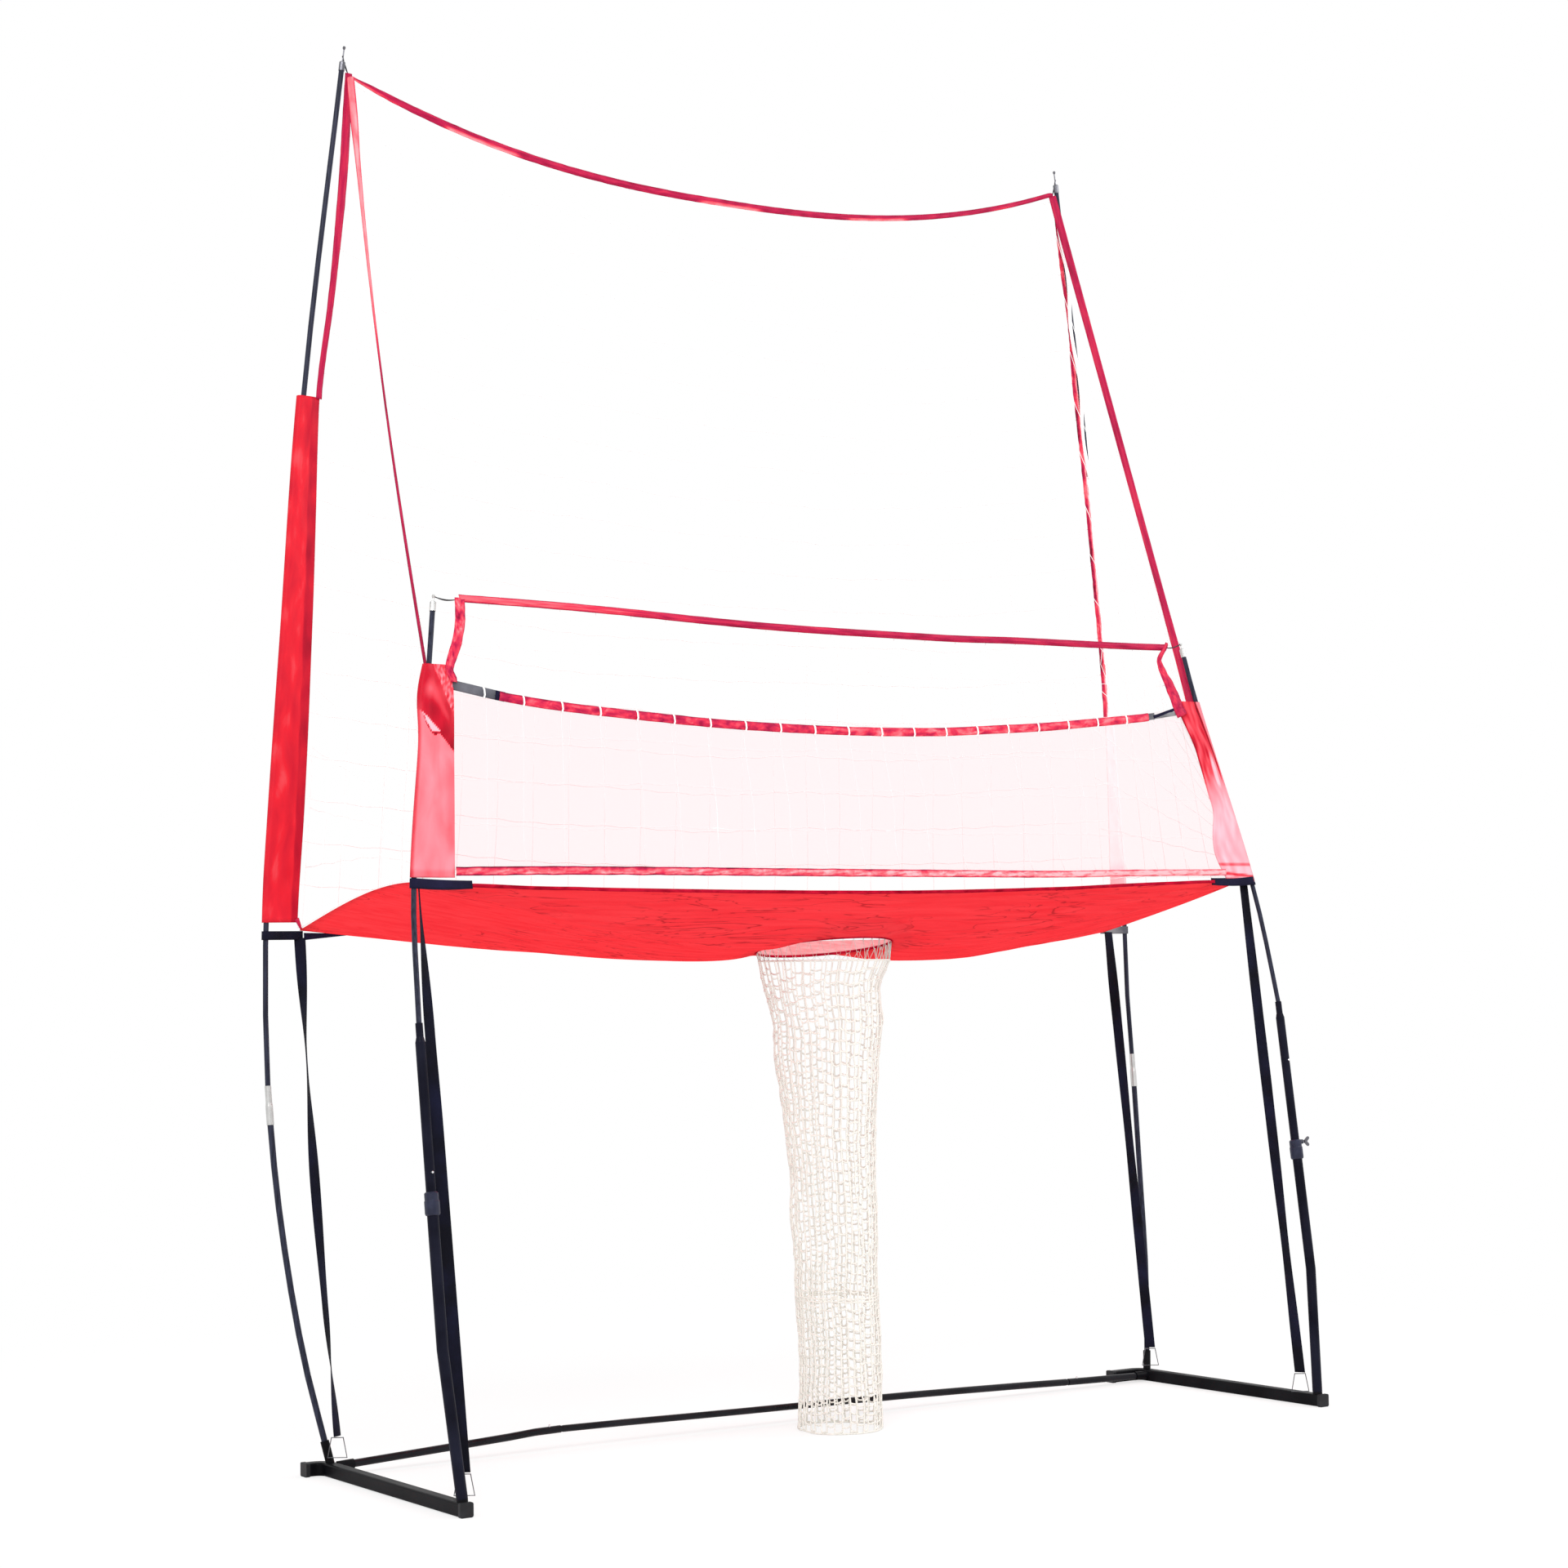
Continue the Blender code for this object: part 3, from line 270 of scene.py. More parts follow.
# %% [markdown]
# ## Finishes
#
# Each finish is built from a few noise and wave textures in the object's own metres, so that its
# grain has a real size. A ramp turns a texture into a colour between two tones, and the same
# texture drives a little bump.

# %% Building blocks for finishes
TWO_PI = 6.283


def coordinates(tree, kind, stretch, turn=(0, 0, 0)):
    source = add_node(tree, "TexCoord", {}).outputs[kind]
    mapping = add_node(tree, "Mapping", {"Vector": source, "Scale": stretch, "Rotation": turn})
    return mapping.outputs["Vector"]


def cloud(tree, scale, detail, distortion=0.0, stretch=(1, 1, 1), kind="Object", turn=(0, 0, 0)):
    """Noise from 0 to 1, in stretched coordinates."""
    return add_node(tree, "TexNoise", {
        "Vector": coordinates(tree, kind, stretch, turn), "Scale": scale, "Detail": detail,
        "Distortion": distortion}).outputs["Fac"]


def stripes(tree, kind, rate, direction, distortion=0.0):
    """Waves from 0 to 1 across one direction, at a rate in radians a metre."""
    return add_node(tree, "TexWave", {
        "Vector": coordinates(tree, kind, (1, 1, 1)), "Scale": rate / TWO_PI,
        "Distortion": distortion}, bands_direction=direction).outputs["Fac"]


def ramp(tree, value, stops):
    """Colours at places from 0 to 1 along a value."""
    node = add_node(tree, "ValToRGB", {"Fac": value})
    elements = node.color_ramp.elements
    for element, (spot, colour) in zip(elements, (stops[0], stops[-1])):
        element.position = spot
        element.color = (*colour, 1)
    for spot, colour in stops[1:-1]:
        elements.new(spot).color = (*colour, 1)
    return node.outputs["Color"]


def bump(tree, height, distance):
    return add_node(tree, "Bump", {"Height": height, "Distance": distance,
                                   "Strength": 1.0}).outputs["Normal"]


def solid_finish(name, stops, pattern, grain, depth, sockets):
    """A finish with its tone from one noise and its relief from another."""
    material, tree, paint = new_material(name)
    set_sockets(tree, paint, {"Base Color": ramp(tree, cloud(tree, *pattern), stops),
                              "Normal": bump(tree, cloud(tree, *grain), depth), **sockets})
    return material


def dimmed(tone, share):
    return tuple(value * share for value in tone)


# %% [markdown]
# The steel tubes have a thin black enamel with a blue cast. Enamel flows slightly as it dries, so
# it gets a faint orange peel and a roughness that varies, and dust settles as a paler film.

# %% Enamel, glass fibre, metal and plastic
def enamel(name, dark, dusty, rough, shine=0.05):
    material, tree, paint = new_material(name)
    patches = cloud(tree, 9, 5)
    set_sockets(tree, paint, {
        "Base Color": ramp(tree, patches, ((0.35, dark), (0.75, dusty))),
        "Roughness": math_node(tree, "MULTIPLY_ADD", patches, 0.22, rough - 0.11),
        "Specular IOR Level": shine, "Normal": bump(tree, cloud(tree, 420, 2), 0.00015)})
    return material


def rod_finish(name, dark, light):
    """Pultruded glass fibre: smooth, with faint streaks along the rod."""
    streaks = (5, 4, 0.0, (60, 60, 2))
    return solid_finish(name, ((0.3, dark), (0.75, light)), streaks, streaks, 0.0001,
                        {"Roughness": 0.40, "Specular IOR Level": 0.12})


def metal_finish(name, tone, rough):
    """Plain metal with fine turning lines and a few duller patches."""
    return solid_finish(name, ((0.35, tone), (0.8, dimmed(tone, 0.78))), (60, 4),
                        (3, 3, 0.0, (40, 40, 900)), 0.00008,
                        {"Metallic": 0.95, "Roughness": rough})


def moulded(name, dark, light, rough):
    """Moulded plastic with a fine matt texture and a paler worn side."""
    return solid_finish(name, ((0.4, dark), (0.8, light)), (35, 5), (1500, 2), 0.00012,
                        {"Roughness": rough, "Specular IOR Level": 0.30})


BLACK_ENAMEL = enamel("black_enamel", (0.003, 0.003, 0.004), (0.010, 0.010, 0.012), 0.42)
NAVY_ENAMEL = enamel("navy_enamel", (0.004, 0.004, 0.009), (0.012, 0.013, 0.026), 0.38)
TUBE_ENAMEL = enamel("tube_enamel", (0.004, 0.004, 0.006), (0.012, 0.012, 0.016), 0.30, shine=0.14)
GLASS_FIBRE = rod_finish("glass_fibre", (0.008, 0.009, 0.017), (0.036, 0.040, 0.070))
PLAIN_METAL = metal_finish("plain_metal", (0.62, 0.62, 0.61), 0.34)
DARK_METAL = metal_finish("dark_metal", (0.16, 0.16, 0.18), 0.30)
WIRE_METAL = metal_finish("wire_metal", (0.13, 0.13, 0.14), 0.36)
BRIGHT_STEEL = metal_finish("bright_steel", (0.80, 0.81, 0.84), 0.18)
CAP_PLASTIC = moulded("cap_plastic", (0.006, 0.006, 0.008), (0.014, 0.014, 0.018), 0.55)
COLLAR_PLASTIC = moulded("collar_plastic", (0.006, 0.008, 0.026), (0.022, 0.026, 0.060), 0.42)

CAD_FINISH = {
    BLACK_ENAMEL: ["left_foot", "right_foot"],
    CAP_PLASTIC: [f"{side}_foot_{end}_cap" for side in SIDES for end in ("front", "rear")],
    NAVY_ENAMEL: [f"{side}_front_{tube}_tube" for side in SIDES for tube in ("outer", "middle")],
    TUBE_ENAMEL: [f"ground_tube_{part}" for part in ("left", "middle", "right")],
    COLLAR_PLASTIC: [f"{side}_front_collar" for side in SIDES],
    BRIGHT_STEEL: ["left_front_button", "right_front_button", "ground_button_left",
                   "ground_button_right"],
    GLASS_FIBRE: [f"{side}_{rod}" for side in SIDES
                  for rod in ("front_rod", "back_lower_pole", "back_upper_pole")],
    PLAIN_METAL: [f"{side}_{part}" for side in SIDES
                  for part in ("front_tip", "back_ferrule")],
    DARK_METAL: [f"{side}_{part}" for side in SIDES for part in ("back_tip", "front_thumbscrew")],
    WIRE_METAL: [f"{side}_{end}_strap_ring" for side in SIDES for end in ("back", "front")],
}
for material, names in CAD_FINISH.items():
    for name in names:
        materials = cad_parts[name].data.materials
        materials.clear()
        materials.append(material)
print("CAD pieces with a finish:", sum(len(names) for names in CAD_FINISH.values()))

# %% [markdown]
# ## Cloth
#
# The tray and sleeves are thin red nylon. It glows where light comes through it, has almost no
# gloss, and carries hundreds of fine creases that run along the tray. The creases are stretched
# noise, once as bump and once as colour, which is painted shade and light on them; this is far
# lighter than folding the mesh.

# %% Red nylon
BLACK, FULL, MOST = (0, 0, 0), (1, 1, 1), (0.8, 0.8, 0.8)


def thin_cloth(tree, paint, colour, sockets, light_through):
    """Paints thin cloth that glows in its own colour where light comes through."""
    set_sockets(tree, paint, {"Base Color": colour, **sockets})
    glow = add_node(tree, "BsdfTranslucent", {"Color": colour})
    show(tree, mix_shaders(tree, light_through, paint, glow))


def nylon(name, deep, bright, stretch, crease=0.0012, light_through=0.35, wrinkle_shade=None):
    """Nylon with painted shade and light on its creases, and, if a wrinkle stretch is given, thin
    lines of painted shade in patches.
    """
    material, tree, paint = new_material(name)
    creases = cloud(tree, 1.0, 6, 0.6, stretch)
    broad = math_node(tree, "MULTIPLY", cloud(tree, 1.0, 3, 0.0, (2.2, 3.0, 3.0)), 0.25)
    folds = math_node(tree, "MULTIPLY_ADD", creases, 0.75, broad)
    # Painted shade and light: the colour follows the same creases as the bump.
    colour = ramp(tree, folds, ((0.36, deep), (0.62, bright)))
    if wrinkle_shade:
        # Thin lines of painted shade, a dimmed deep tone, in patches.
        level = cloud(tree, 1.0, 3, 1.2, wrinkle_shade, turn=(0, 0, 0.10))
        thin = ramp(tree, level, ((0.485, BLACK), (0.497, FULL), (0.503, FULL), (0.515, BLACK)))
        where = ramp(tree, cloud(tree, 1.0, 2, 0.0, (3, 5, 5)), ((0.42, BLACK), (0.58, MOST)))
        share = math_node(tree, "MULTIPLY", thin, where)
        colour = add_node(tree, "Mix", {0: share, 6: colour, 7: (*dimmed(deep, 0.55), 1)},
                          data_type="RGBA").outputs[2]
    thin_cloth(tree, paint, colour, {"Roughness": 0.42, "Specular IOR Level": 0.0,
                                     "Normal": bump(tree, creases, crease)}, light_through)
    return material


def toned(name, tones, stretch, spread=0.5, crease=0.0008, light_through=0.35):
    """Nylon whose colour follows each point's tone, from 0, doubled and dark, to 1, one layer."""
    material, tree, paint = new_material(name)
    creases = cloud(tree, 1.0, 6, 0.8, stretch, "UV")
    tone = add_node(tree, "Attribute", {}, attribute_name="tone").outputs["Fac"]
    # The crease noise of the bump also shifts the tone: painted shade and light on the creases.
    shifted = math_node(tree, "MULTIPLY_ADD", creases, spread, -spread / 2)
    colour = ramp(tree, math_node(tree, "ADD", tone, shifted), tones)
    thin_cloth(tree, paint, colour, {"Roughness": 0.45, "Specular IOR Level": 0.16,
                                     "Normal": bump(tree, creases, crease)}, light_through)
    return material


TRAY_NYLON = nylon("tray_nylon", (0.95, 0.046, 0.062), (1.0, 0.070, 0.086), (4, 60, 60),
                   crease=0.002, wrinkle_shade=(3.0, 26, 26))
HEM_NYLON = nylon("hem_nylon", (0.36, 0.004, 0.020), (0.66, 0.012, 0.045), (30, 60, 60))


# %% [markdown]
# Webbing is woven flat in ribs. The mesh is so open that its share of thread is its alpha, and
# a cord is twisted. A white cord also has a faint emission, a painted glow that keeps it white in
# shade.

# %% Webbing, mesh and cord
def webbing(name, dark, light):
    """Flat woven webbing: ribs along its length crossed by fine picks."""
    material, tree, paint = new_material(name)
    weave = math_node(tree, "MULTIPLY", stripes(tree, "UV", 1400, "Y"),
                      stripes(tree, "UV", 2200, "X"))
    set_sockets(tree, paint, {
        "Base Color": ramp(tree, cloud(tree, 11, 4), ((0.4, dark), (0.75, light))),
        "Roughness": 0.72, "Specular IOR Level": 0.12, "Normal": bump(tree, weave, 0.0005)})
    return material


def open_mesh(name, colour, alpha, rate=420, light_through=0.5):
    """Fine see-through mesh: its share of thread is its alpha, and its threads show as ribs."""
    material, tree, paint = new_material(name)
    weave = math_node(tree, "MAXIMUM", stripes(tree, "UV", rate, "X"),
                      stripes(tree, "UV", rate, "Y", 0.5))
    pale = tuple(mix(value, 1.0, 0.35) for value in colour)
    tone = ramp(tree, weave, ((0.3, pale), (0.9, colour)))
    set_sockets(tree, paint, {"Base Color": tone, "Roughness": 0.6})
    thread = mix_shaders(tree, light_through, paint,
                         add_node(tree, "BsdfTranslucent", {"Color": tone}))
    show(tree, mix_shaders(tree, alpha, add_node(tree, "BsdfTransparent", {}), thread))
    return material


def cord_finish(name, colour, painted_glow=0.0):
    material, tree, paint = new_material(name)
    twist = stripes(tree, "Object", 900, "DIAGONAL")
    # The emission is a painted glow that keeps the cord bright in shade.
    set_sockets(tree, paint, {
        "Base Color": ramp(tree, twist, ((0.2, dimmed(colour, 0.9)), (0.8, colour))),
        "Roughness": 0.8, "Emission Color": (*colour, 1), "Emission Strength": painted_glow,
        "Normal": bump(tree, twist, 0.0003)})
    return material


BLACK_WEBBING = webbing("black_webbing", (0.003, 0.003, 0.008), (0.009, 0.010, 0.034))
NAVY_WEBBING = webbing("navy_webbing", (0.005, 0.004, 0.020), (0.014, 0.012, 0.048))
SLATE_WEBBING = webbing("slate_webbing", (0.055, 0.058, 0.075), (0.20, 0.20, 0.23))
GREY_WEBBING = webbing("grey_webbing", (0.10, 0.10, 0.12), (0.36, 0.36, 0.37))
PANEL_MESH = open_mesh("panel_mesh", (0.90, 0.42, 0.50), 0.17)
WHITE_CORD = cord_finish("white_cord", (0.92, 0.92, 0.91), painted_glow=0.11)
CREAM_CORD = cord_finish("cream_cord", (0.88, 0.86, 0.80))
DARK_CORD = cord_finish("dark_cord", (0.03, 0.03, 0.035))
print("finishes:", len(bpy.data.materials))

# %% [markdown]
# ## Shaping cloth
#
# A piece of cloth starts as a flat bmesh grid, with a UV map in metres, and each of its points is
# then lifted to its place in space. A closed grid's two ends are welded. Solidify gives the cloth
# its thickness last. Noise that gives a vector takes its offsets from the clock, so it is seeded.

# %% Helpers for cloth and cord
def add_piece(name, mesh, material, body):
    obj = new_object(name, mesh)
    mesh.materials.append(material)
    mesh.shade_smooth()
    if body:
        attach(obj, body)
    return obj


def cloth(name, patch, columns, rows, size, material, body, closed=False, thickness=0.0008):
    """A grid of columns by rows whose point at (u, v), both from 0 to 1, is patch(u, v)."""
    bm = bmesh.new()
    bm.loops.layers.uv.new("cut")
    bmesh.ops.create_grid(bm, x_segments=columns, y_segments=rows, size=0.5, calc_uvs=True)
    chart = bm.loops.layers.uv.active
    for face in bm.faces:
        for loop in face.loops:
            flat = loop.vert.co
            loop[chart].uv = ((flat.x + 0.5) * size[0], (flat.y + 0.5) * size[1])
    for vert in bm.verts:
        vert.co = patch(vert.co.x + 0.5, vert.co.y + 0.5)
    if closed:
        bmesh.ops.remove_doubles(bm, verts=bm.verts, dist=1e-5)
        bmesh.ops.recalc_face_normals(bm, faces=bm.faces)
    mesh = bpy.data.meshes.new(name)
    bm.to_mesh(mesh)
    bm.free()
    obj = add_piece(name, mesh, material, body)
    if thickness:
        shell = obj.modifiers.new("cloth", "SOLIDIFY")
        shell.thickness = thickness
        shell.offset = 0
    return obj


def cords(name, lines, radius, material, body, sides=4, closed=()):
    """Round cords along lines of points, as one mesh. closed says which lines are rings."""
    curve = bpy.data.curves.new(name, "CURVE")
    curve.dimensions = "3D"
    curve.bevel_depth = radius
    curve.bevel_resolution = (sides - 4) // 2
    curve.use_fill_caps = True
    for number, line in enumerate(lines):
        spline = curve.splines.new("POLY")
        spline.points.add(len(line) - 1)
        for knot, spot in zip(spline.points, line):
            knot.co = (*spot, 1.0)
        spline.use_cyclic_u = number in closed
    holder = new_object(name + "_lines", curve)
    graph = bpy.context.evaluated_depsgraph_get()
    mesh = bpy.data.meshes.new_from_object(holder.evaluated_get(graph))
    mesh.name = name
    mesh.materials.clear()
    bpy.data.objects.remove(holder, do_unlink=True)
    return add_piece(name, mesh, material, body)


NOISE_SEED = 5
noise.seed_set(NOISE_SEED)


def wobble(spot, scale, amount, seed=0.0):
    """A small repeatable offset that varies smoothly in space."""
    place_in_noise = Vector(spot) * scale + Vector((seed, seed * 1.7, seed * 0.3))
    return noise.noise_vector(place_in_noise) * amount


# %% [markdown]
# ## The tray
#
# The tray hangs between its straight front hem, its back edge and its two corners, and sags
# towards the hole. Each point lies between the hole's rim and the tray's edge. The sag follows a
# sine and is deepest to the sides, where the cloth is widest. A simulation would also find the
# sag, but a formula is quick and can be fitted to the real outline.

# %% The tray's shape
HOLE = Vector((0.050, -0.170, 1.191))
HOLE_RADIUS = 0.170
HOLE_TILT = 0.022
TRAY_FRONT_Y, TRAY_BACK_Y = -0.452, 0.1425
TRAY_FRONT_X, TRAY_BACK_X, TRAY_BACK_LEFT_X = 1.205, 1.233, 1.231
CORNER_SET_BACK = 0.013
HEM_LINE = (
    (-1.205, 1.334), (-1.092, 1.336), (-0.941, 1.331), (-0.491, 1.325), (-0.120, 1.323),
    (0.174, 1.3245), (0.587, 1.334), (0.804, 1.343), (0.971, 1.349), (1.100, 1.353), (1.205, 1.351),
)
BELLY = {"left": 0.036, "right": 0.040}
SIDE_BOW = {"left": 0.029, "right": -0.004}


def tray_back_z(x):
    share = abs(x) / TRAY_BACK_X
    return 1.205 + (0.023 * share ** 1.3 if x > 0 else 0.0395 * share ** 2.2)


def tray_side(side, share):
    """A point of the tray's side edge, from the front corner (0) to the back corner (1)."""
    sign = SIDES[side]
    back_x = TRAY_BACK_X if side == "right" else TRAY_BACK_LEFT_X
    x = sign * mix(TRAY_FRONT_X, back_x, share)
    y = mix(TRAY_FRONT_Y + CORNER_SET_BACK, TRAY_BACK_Y, share)
    z = mix(height_at(HEM_LINE, sign * TRAY_FRONT_X), tray_back_z(sign * TRAY_BACK_X), share)
    return Vector((x, y, z + SIDE_BOW[side] * math.sin(math.pi * share ** 0.75)))


def tray_edge(u):
    """The tray's outline: along the hem, back up the right side, along the net and down."""
    step = u * 10
    if step < 4:
        x = mix(-TRAY_FRONT_X, TRAY_FRONT_X, step / 4)
        y = TRAY_FRONT_Y + CORNER_SET_BACK * smooth((abs(x) - 1.085) / 0.03)
        return Vector((x, y, height_at(HEM_LINE, x)))
    if step < 5:
        return tray_side("right", step - 4)
    if step < 9:
        x = mix(TRAY_BACK_X, -TRAY_BACK_LEFT_X, (step - 5) / 4)
        return Vector((x, TRAY_BACK_Y, tray_back_z(x)))
    return tray_side("left", 10 - step)


def tray_patch(u, v):
    """A point of the cloth, from the hole's rim (v = 0) to the outline (v = 1)."""
    edge = tray_edge(u % 1.0)
    out = Vector((edge.x - HOLE.x, edge.y - HOLE.y, 0)).normalized()
    rim = HOLE + out * HOLE_RADIUS
    rim.z -= HOLE_TILT * out.y
    point = mix(rim, edge, v)
    belly = BELLY["left" if out.x < 0 else "right"]
    sag = mix(0.004, belly, smooth(1.4 - abs(out.y) * 1.6)) * math.sin(math.pi * v ** 0.6)
    free = math.sin(math.pi * v)
    creases = noise.noise(Vector((point.x * 2.5, point.y * 16, 0.3))) * 0.0035
    creases += noise.noise(Vector((point.x * 7, point.y * 45, 2.1))) * 0.0012
    point.z += creases * free - sag
    return place(*point)


tray = cloth("tray_cloth", tray_patch, 360, 40, (6.2, 0.4), TRAY_NYLON, None,
             closed=True)
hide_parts("tray")
print("tray points:", len(tray.data.vertices))

# %% [markdown]
# The front hem is a narrow doubled fold of the same nylon, so it looks darker. The hole has a
# bound rim, a thin round cord covered in red. A ring of pale nylon lies round it on top, wider
# towards the back: a painted highlight for the lit top of the tray. It follows the tray's own
# patch, so it can't cut through the tray.

# %% The tray's hem and the rim of its hole
def hem_patch(u, v):
    x = mix(-1.105, 1.105, u)
    z = height_at(HEM_LINE, x) - 0.008 * (1 - v) + 0.001 * noise.noise(Vector((x * 9, 0, 5)))
    return place(x, TRAY_FRONT_Y - 0.0016, z)


tray_hem = cloth("tray_hem", hem_patch, 180, 2, (2.2, 0.009), HEM_NYLON, None,
                 thickness=0.0018)


def hole_rim(angle, radius, drop=0.0):
    spot = HOLE + Vector((math.cos(angle), math.sin(angle), 0)) * radius
    spot.z -= HOLE_TILT * math.sin(angle) + drop
    return place(*spot)


RIM_STEPS = 72
rim_line = [hole_rim(2 * math.pi * k / RIM_STEPS, HOLE_RADIUS) for k in range(RIM_STEPS)]
cords("tray_hole_rim", [rim_line], 0.003, HEM_NYLON, "frame", sides=8, closed={0})

HIGHLIGHT_WIDTH, HIGHLIGHT_LIFT = 0.050, 0.0038
HIGHLIGHT_BACK_WIDTH, HIGHLIGHT_BACK_AT, HIGHLIGHT_BACK_SPREAD = 0.45, 0.650, 0.075


def painted_highlight_patch(u, v):
    """A ring of painted highlight on the tray's upper side, wider where it reaches the back edge.
    """
    u = u % 1.0
    edge = tray_edge(u)
    reach = Vector((edge.x - HOLE.x, edge.y - HOLE.y, 0)).length - HOLE_RADIUS
    wide = HIGHLIGHT_WIDTH + HIGHLIGHT_BACK_WIDTH * smooth(1.25 - abs(u - HIGHLIGHT_BACK_AT) / HIGHLIGHT_BACK_SPREAD)
    share = min(wide / reach, 0.94)
    return tray_patch(u, share * v) + Vector((0, 0, HIGHLIGHT_LIFT))


# Pale nylon for the painted highlight on the tray's lit top.
PAINTED_HIGHLIGHT_NYLON = nylon("painted_highlight_nylon", (0.98, 0.44, 0.46), (1.0, 0.66, 0.68), (40, 40, 12),
                     light_through=0.5)
cloth("tray_hole_painted_highlight", painted_highlight_patch, 360, 16, (1.4, 0.13), PAINTED_HIGHLIGHT_NYLON, "frame",
      closed=True)
print("tray rim:", round(2 * math.pi * HOLE_RADIUS, 3), "m around")

# %% [markdown]
# ## The chute
#
# The chute is a knitted tube of white cord. Its long cords run down from the rim, a little wavy,
# and short cords cross between them at staggered heights and sag. All of them are splines of one
# curve object with a round bevel, which becomes a single mesh. A texture with holes would be
# lighter, but the cords' own shadows and their spread at the foot are what make it look knitted.

# %% The chute of white cord
CHUTE_SECTIONS = (
    (0.076, -0.173, 0.004, 0.104), (0.074, -0.173, 0.195, 0.102), (0.069, -0.172, 0.500, 0.105),
    (0.060, -0.171, 0.765, 0.117), (0.053, -0.170, 1.005, 0.136), (0.046, -0.170, 1.100, 0.147),
    (0.050, -0.170, 1.158, 0.164),
)
CHUTE_CENTRES = [(x, y, z) for x, y, z, _ in CHUTE_SECTIONS]
CHUTE_WIDTHS = [(radius, 0, z) for _, _, z, radius in CHUTE_SECTIONS]
COLUMNS, COLUMN_STEPS, RING_STEPS = 38, 90, 96
CHUTE_FOOT, CHUTE_TOP, RUNGS_TOP = 0.004, 1.157, 1.142


def chute_point(turn, z):
    """A point of the tube at a share of a turn and a height, out of true as knitting is."""
    centre = on_route(CHUTE_CENTRES, z)
    radius = on_route(CHUTE_WIDTHS, z).x
    angle = 2 * math.pi * (turn + 0.012 * noise.noise(Vector((turn * 31, 0, 0))))
    spot = Vector((math.cos(angle), math.sin(angle), 0)) * radius + centre
    free = smooth((1.156 - z) / 0.08)
    shift = wobble(spot, 7, 0.009) + wobble(spot, 30, 0.0035, 3.0)
    shift.z *= 0.5
    spot = spot + shift * free
    spot.z = max(spot.z, 0.0025)
    return place(*spot)


def chute_ring(z):
    return [chute_point(k / RING_STEPS, z) for k in range(RING_STEPS)]


heights = [mix(CHUTE_FOOT, CHUTE_TOP, k / COLUMN_STEPS) for k in range(COLUMN_STEPS + 1)]
chute_lines = [[chute_point(column / COLUMNS, z) for z in heights] for column in range(COLUMNS)]
for column in range(COLUMNS):
    z = 0.012 + 0.014 * (column % 2) + 0.004 * noise.noise(Vector((column * 1.7, 0, 0)))
    while z < RUNGS_TOP:
        start, end = column / COLUMNS, (column + 1) / COLUMNS
        skew = 0.006 * noise.noise(Vector((column * 3.1, z * 40, 1)))
        sag = 0.0045 + 0.003 * noise.noise(Vector((column * 2.3, z * 31, 7)))
        line = []
        for k in range(4):
            share = k / 3
            spot = chute_point(mix(start, end, share), z + skew * (share - 0.5))
            spot.z -= 4 * sag * share * (1 - share)
            line.append(spot)
        if line[1].z > 0.003 and line[2].z > 0.003:
            chute_lines.append(line)
        z += mix(0.022, 0.030, z / 1.17) + 0.005 * noise.noise(Vector((column * 5.3, z * 23, 4)))
SEAM_HEIGHTS = (0.320, 0.328)
rings = [chute_ring(z) for z in (*SEAM_HEIGHTS, CHUTE_FOOT, CHUTE_TOP)]
ring_places = range(len(chute_lines), len(chute_lines) + len(rings))
chute_lines += rings
chute = cords("chute_cords", chute_lines, 0.0021, CREAM_CORD, "frame",
              closed=ring_places)
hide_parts("chute_net")
lacing_line = []
for k in range(2 * COLUMNS):
    turn = k / (2 * COLUMNS)
    if k % 2:
        lacing_line.append(hole_rim(2 * math.pi * turn, HOLE_RADIUS - 0.001, 0.001))
    else:
        lacing_line.append(chute_point(turn, CHUTE_TOP))
cords("chute_lacing", [lacing_line], 0.0010, CREAM_CORD, "frame", closed={0})
print("chute:", len(chute_lines), "cords,", len(chute.data.polygons), "faces")

# %% [markdown]
# ## The square nets
#
# The back, front and side nets are the same white cord in squares of ten centimetres. A net is
# laid out on a patch, its cords meet at knots that are a little off the grid, and each length
# between two knots sags slightly. A small knot sits at each meeting.

# %% Laying out a square net
NET_SLACK = 0.004


def square_net(name, patch, columns, rows, body, node, radius=0.0009):
    """Cords along patch(u, v) with columns by rows of squares."""
    def knot_at(u, v):
        spot = patch(u, v)
        hold = min(1.0, 8 * min(u, 1 - u), 8 * min(v, 1 - v))
        return spot + wobble(spot, 3.1, 0.012) * Vector((1, 0.3, 1)) * hold if hold > 0 else spot

    lines = []
    for column in range(columns + 1):
        line = []
        for step in range(rows * 2 + 1):
            line.append(knot_at(column / columns, step / (rows * 2)))
        lines.append(line)
    for row in range(rows + 1):
        line = []
        for step in range(columns * 2 + 1):
            spot = knot_at(step / (columns * 2), row / rows)
            if step % 2 and 0 < row < rows:
                spot.z -= NET_SLACK
            line.append(spot)
        lines.append(line)
    net = cords(name, lines, radius, WHITE_CORD, body)
    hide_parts(node)
    bm = bmesh.new()
    bm.from_mesh(net.data)
    for column in range(1, columns):
        for row in range(1, rows):
            spot = knot_at(column / columns, row / rows)
            lump = Matrix.Translation(spot) @ Matrix.Diagonal((1.2, 0.9, 1.4, 1))
            bmesh.ops.create_icosphere(bm, subdivisions=1, radius=radius * 1.5, matrix=lump)
    bm.to_mesh(net.data)
    bm.free()
    net.data.shade_smooth()
    return net


# %% [markdown]
# The back net hangs on its top tape, which dips in the middle, and its two edges are sewn into
# the sleeves. Each edge has its own curve, because the right one lies nearer its pole.

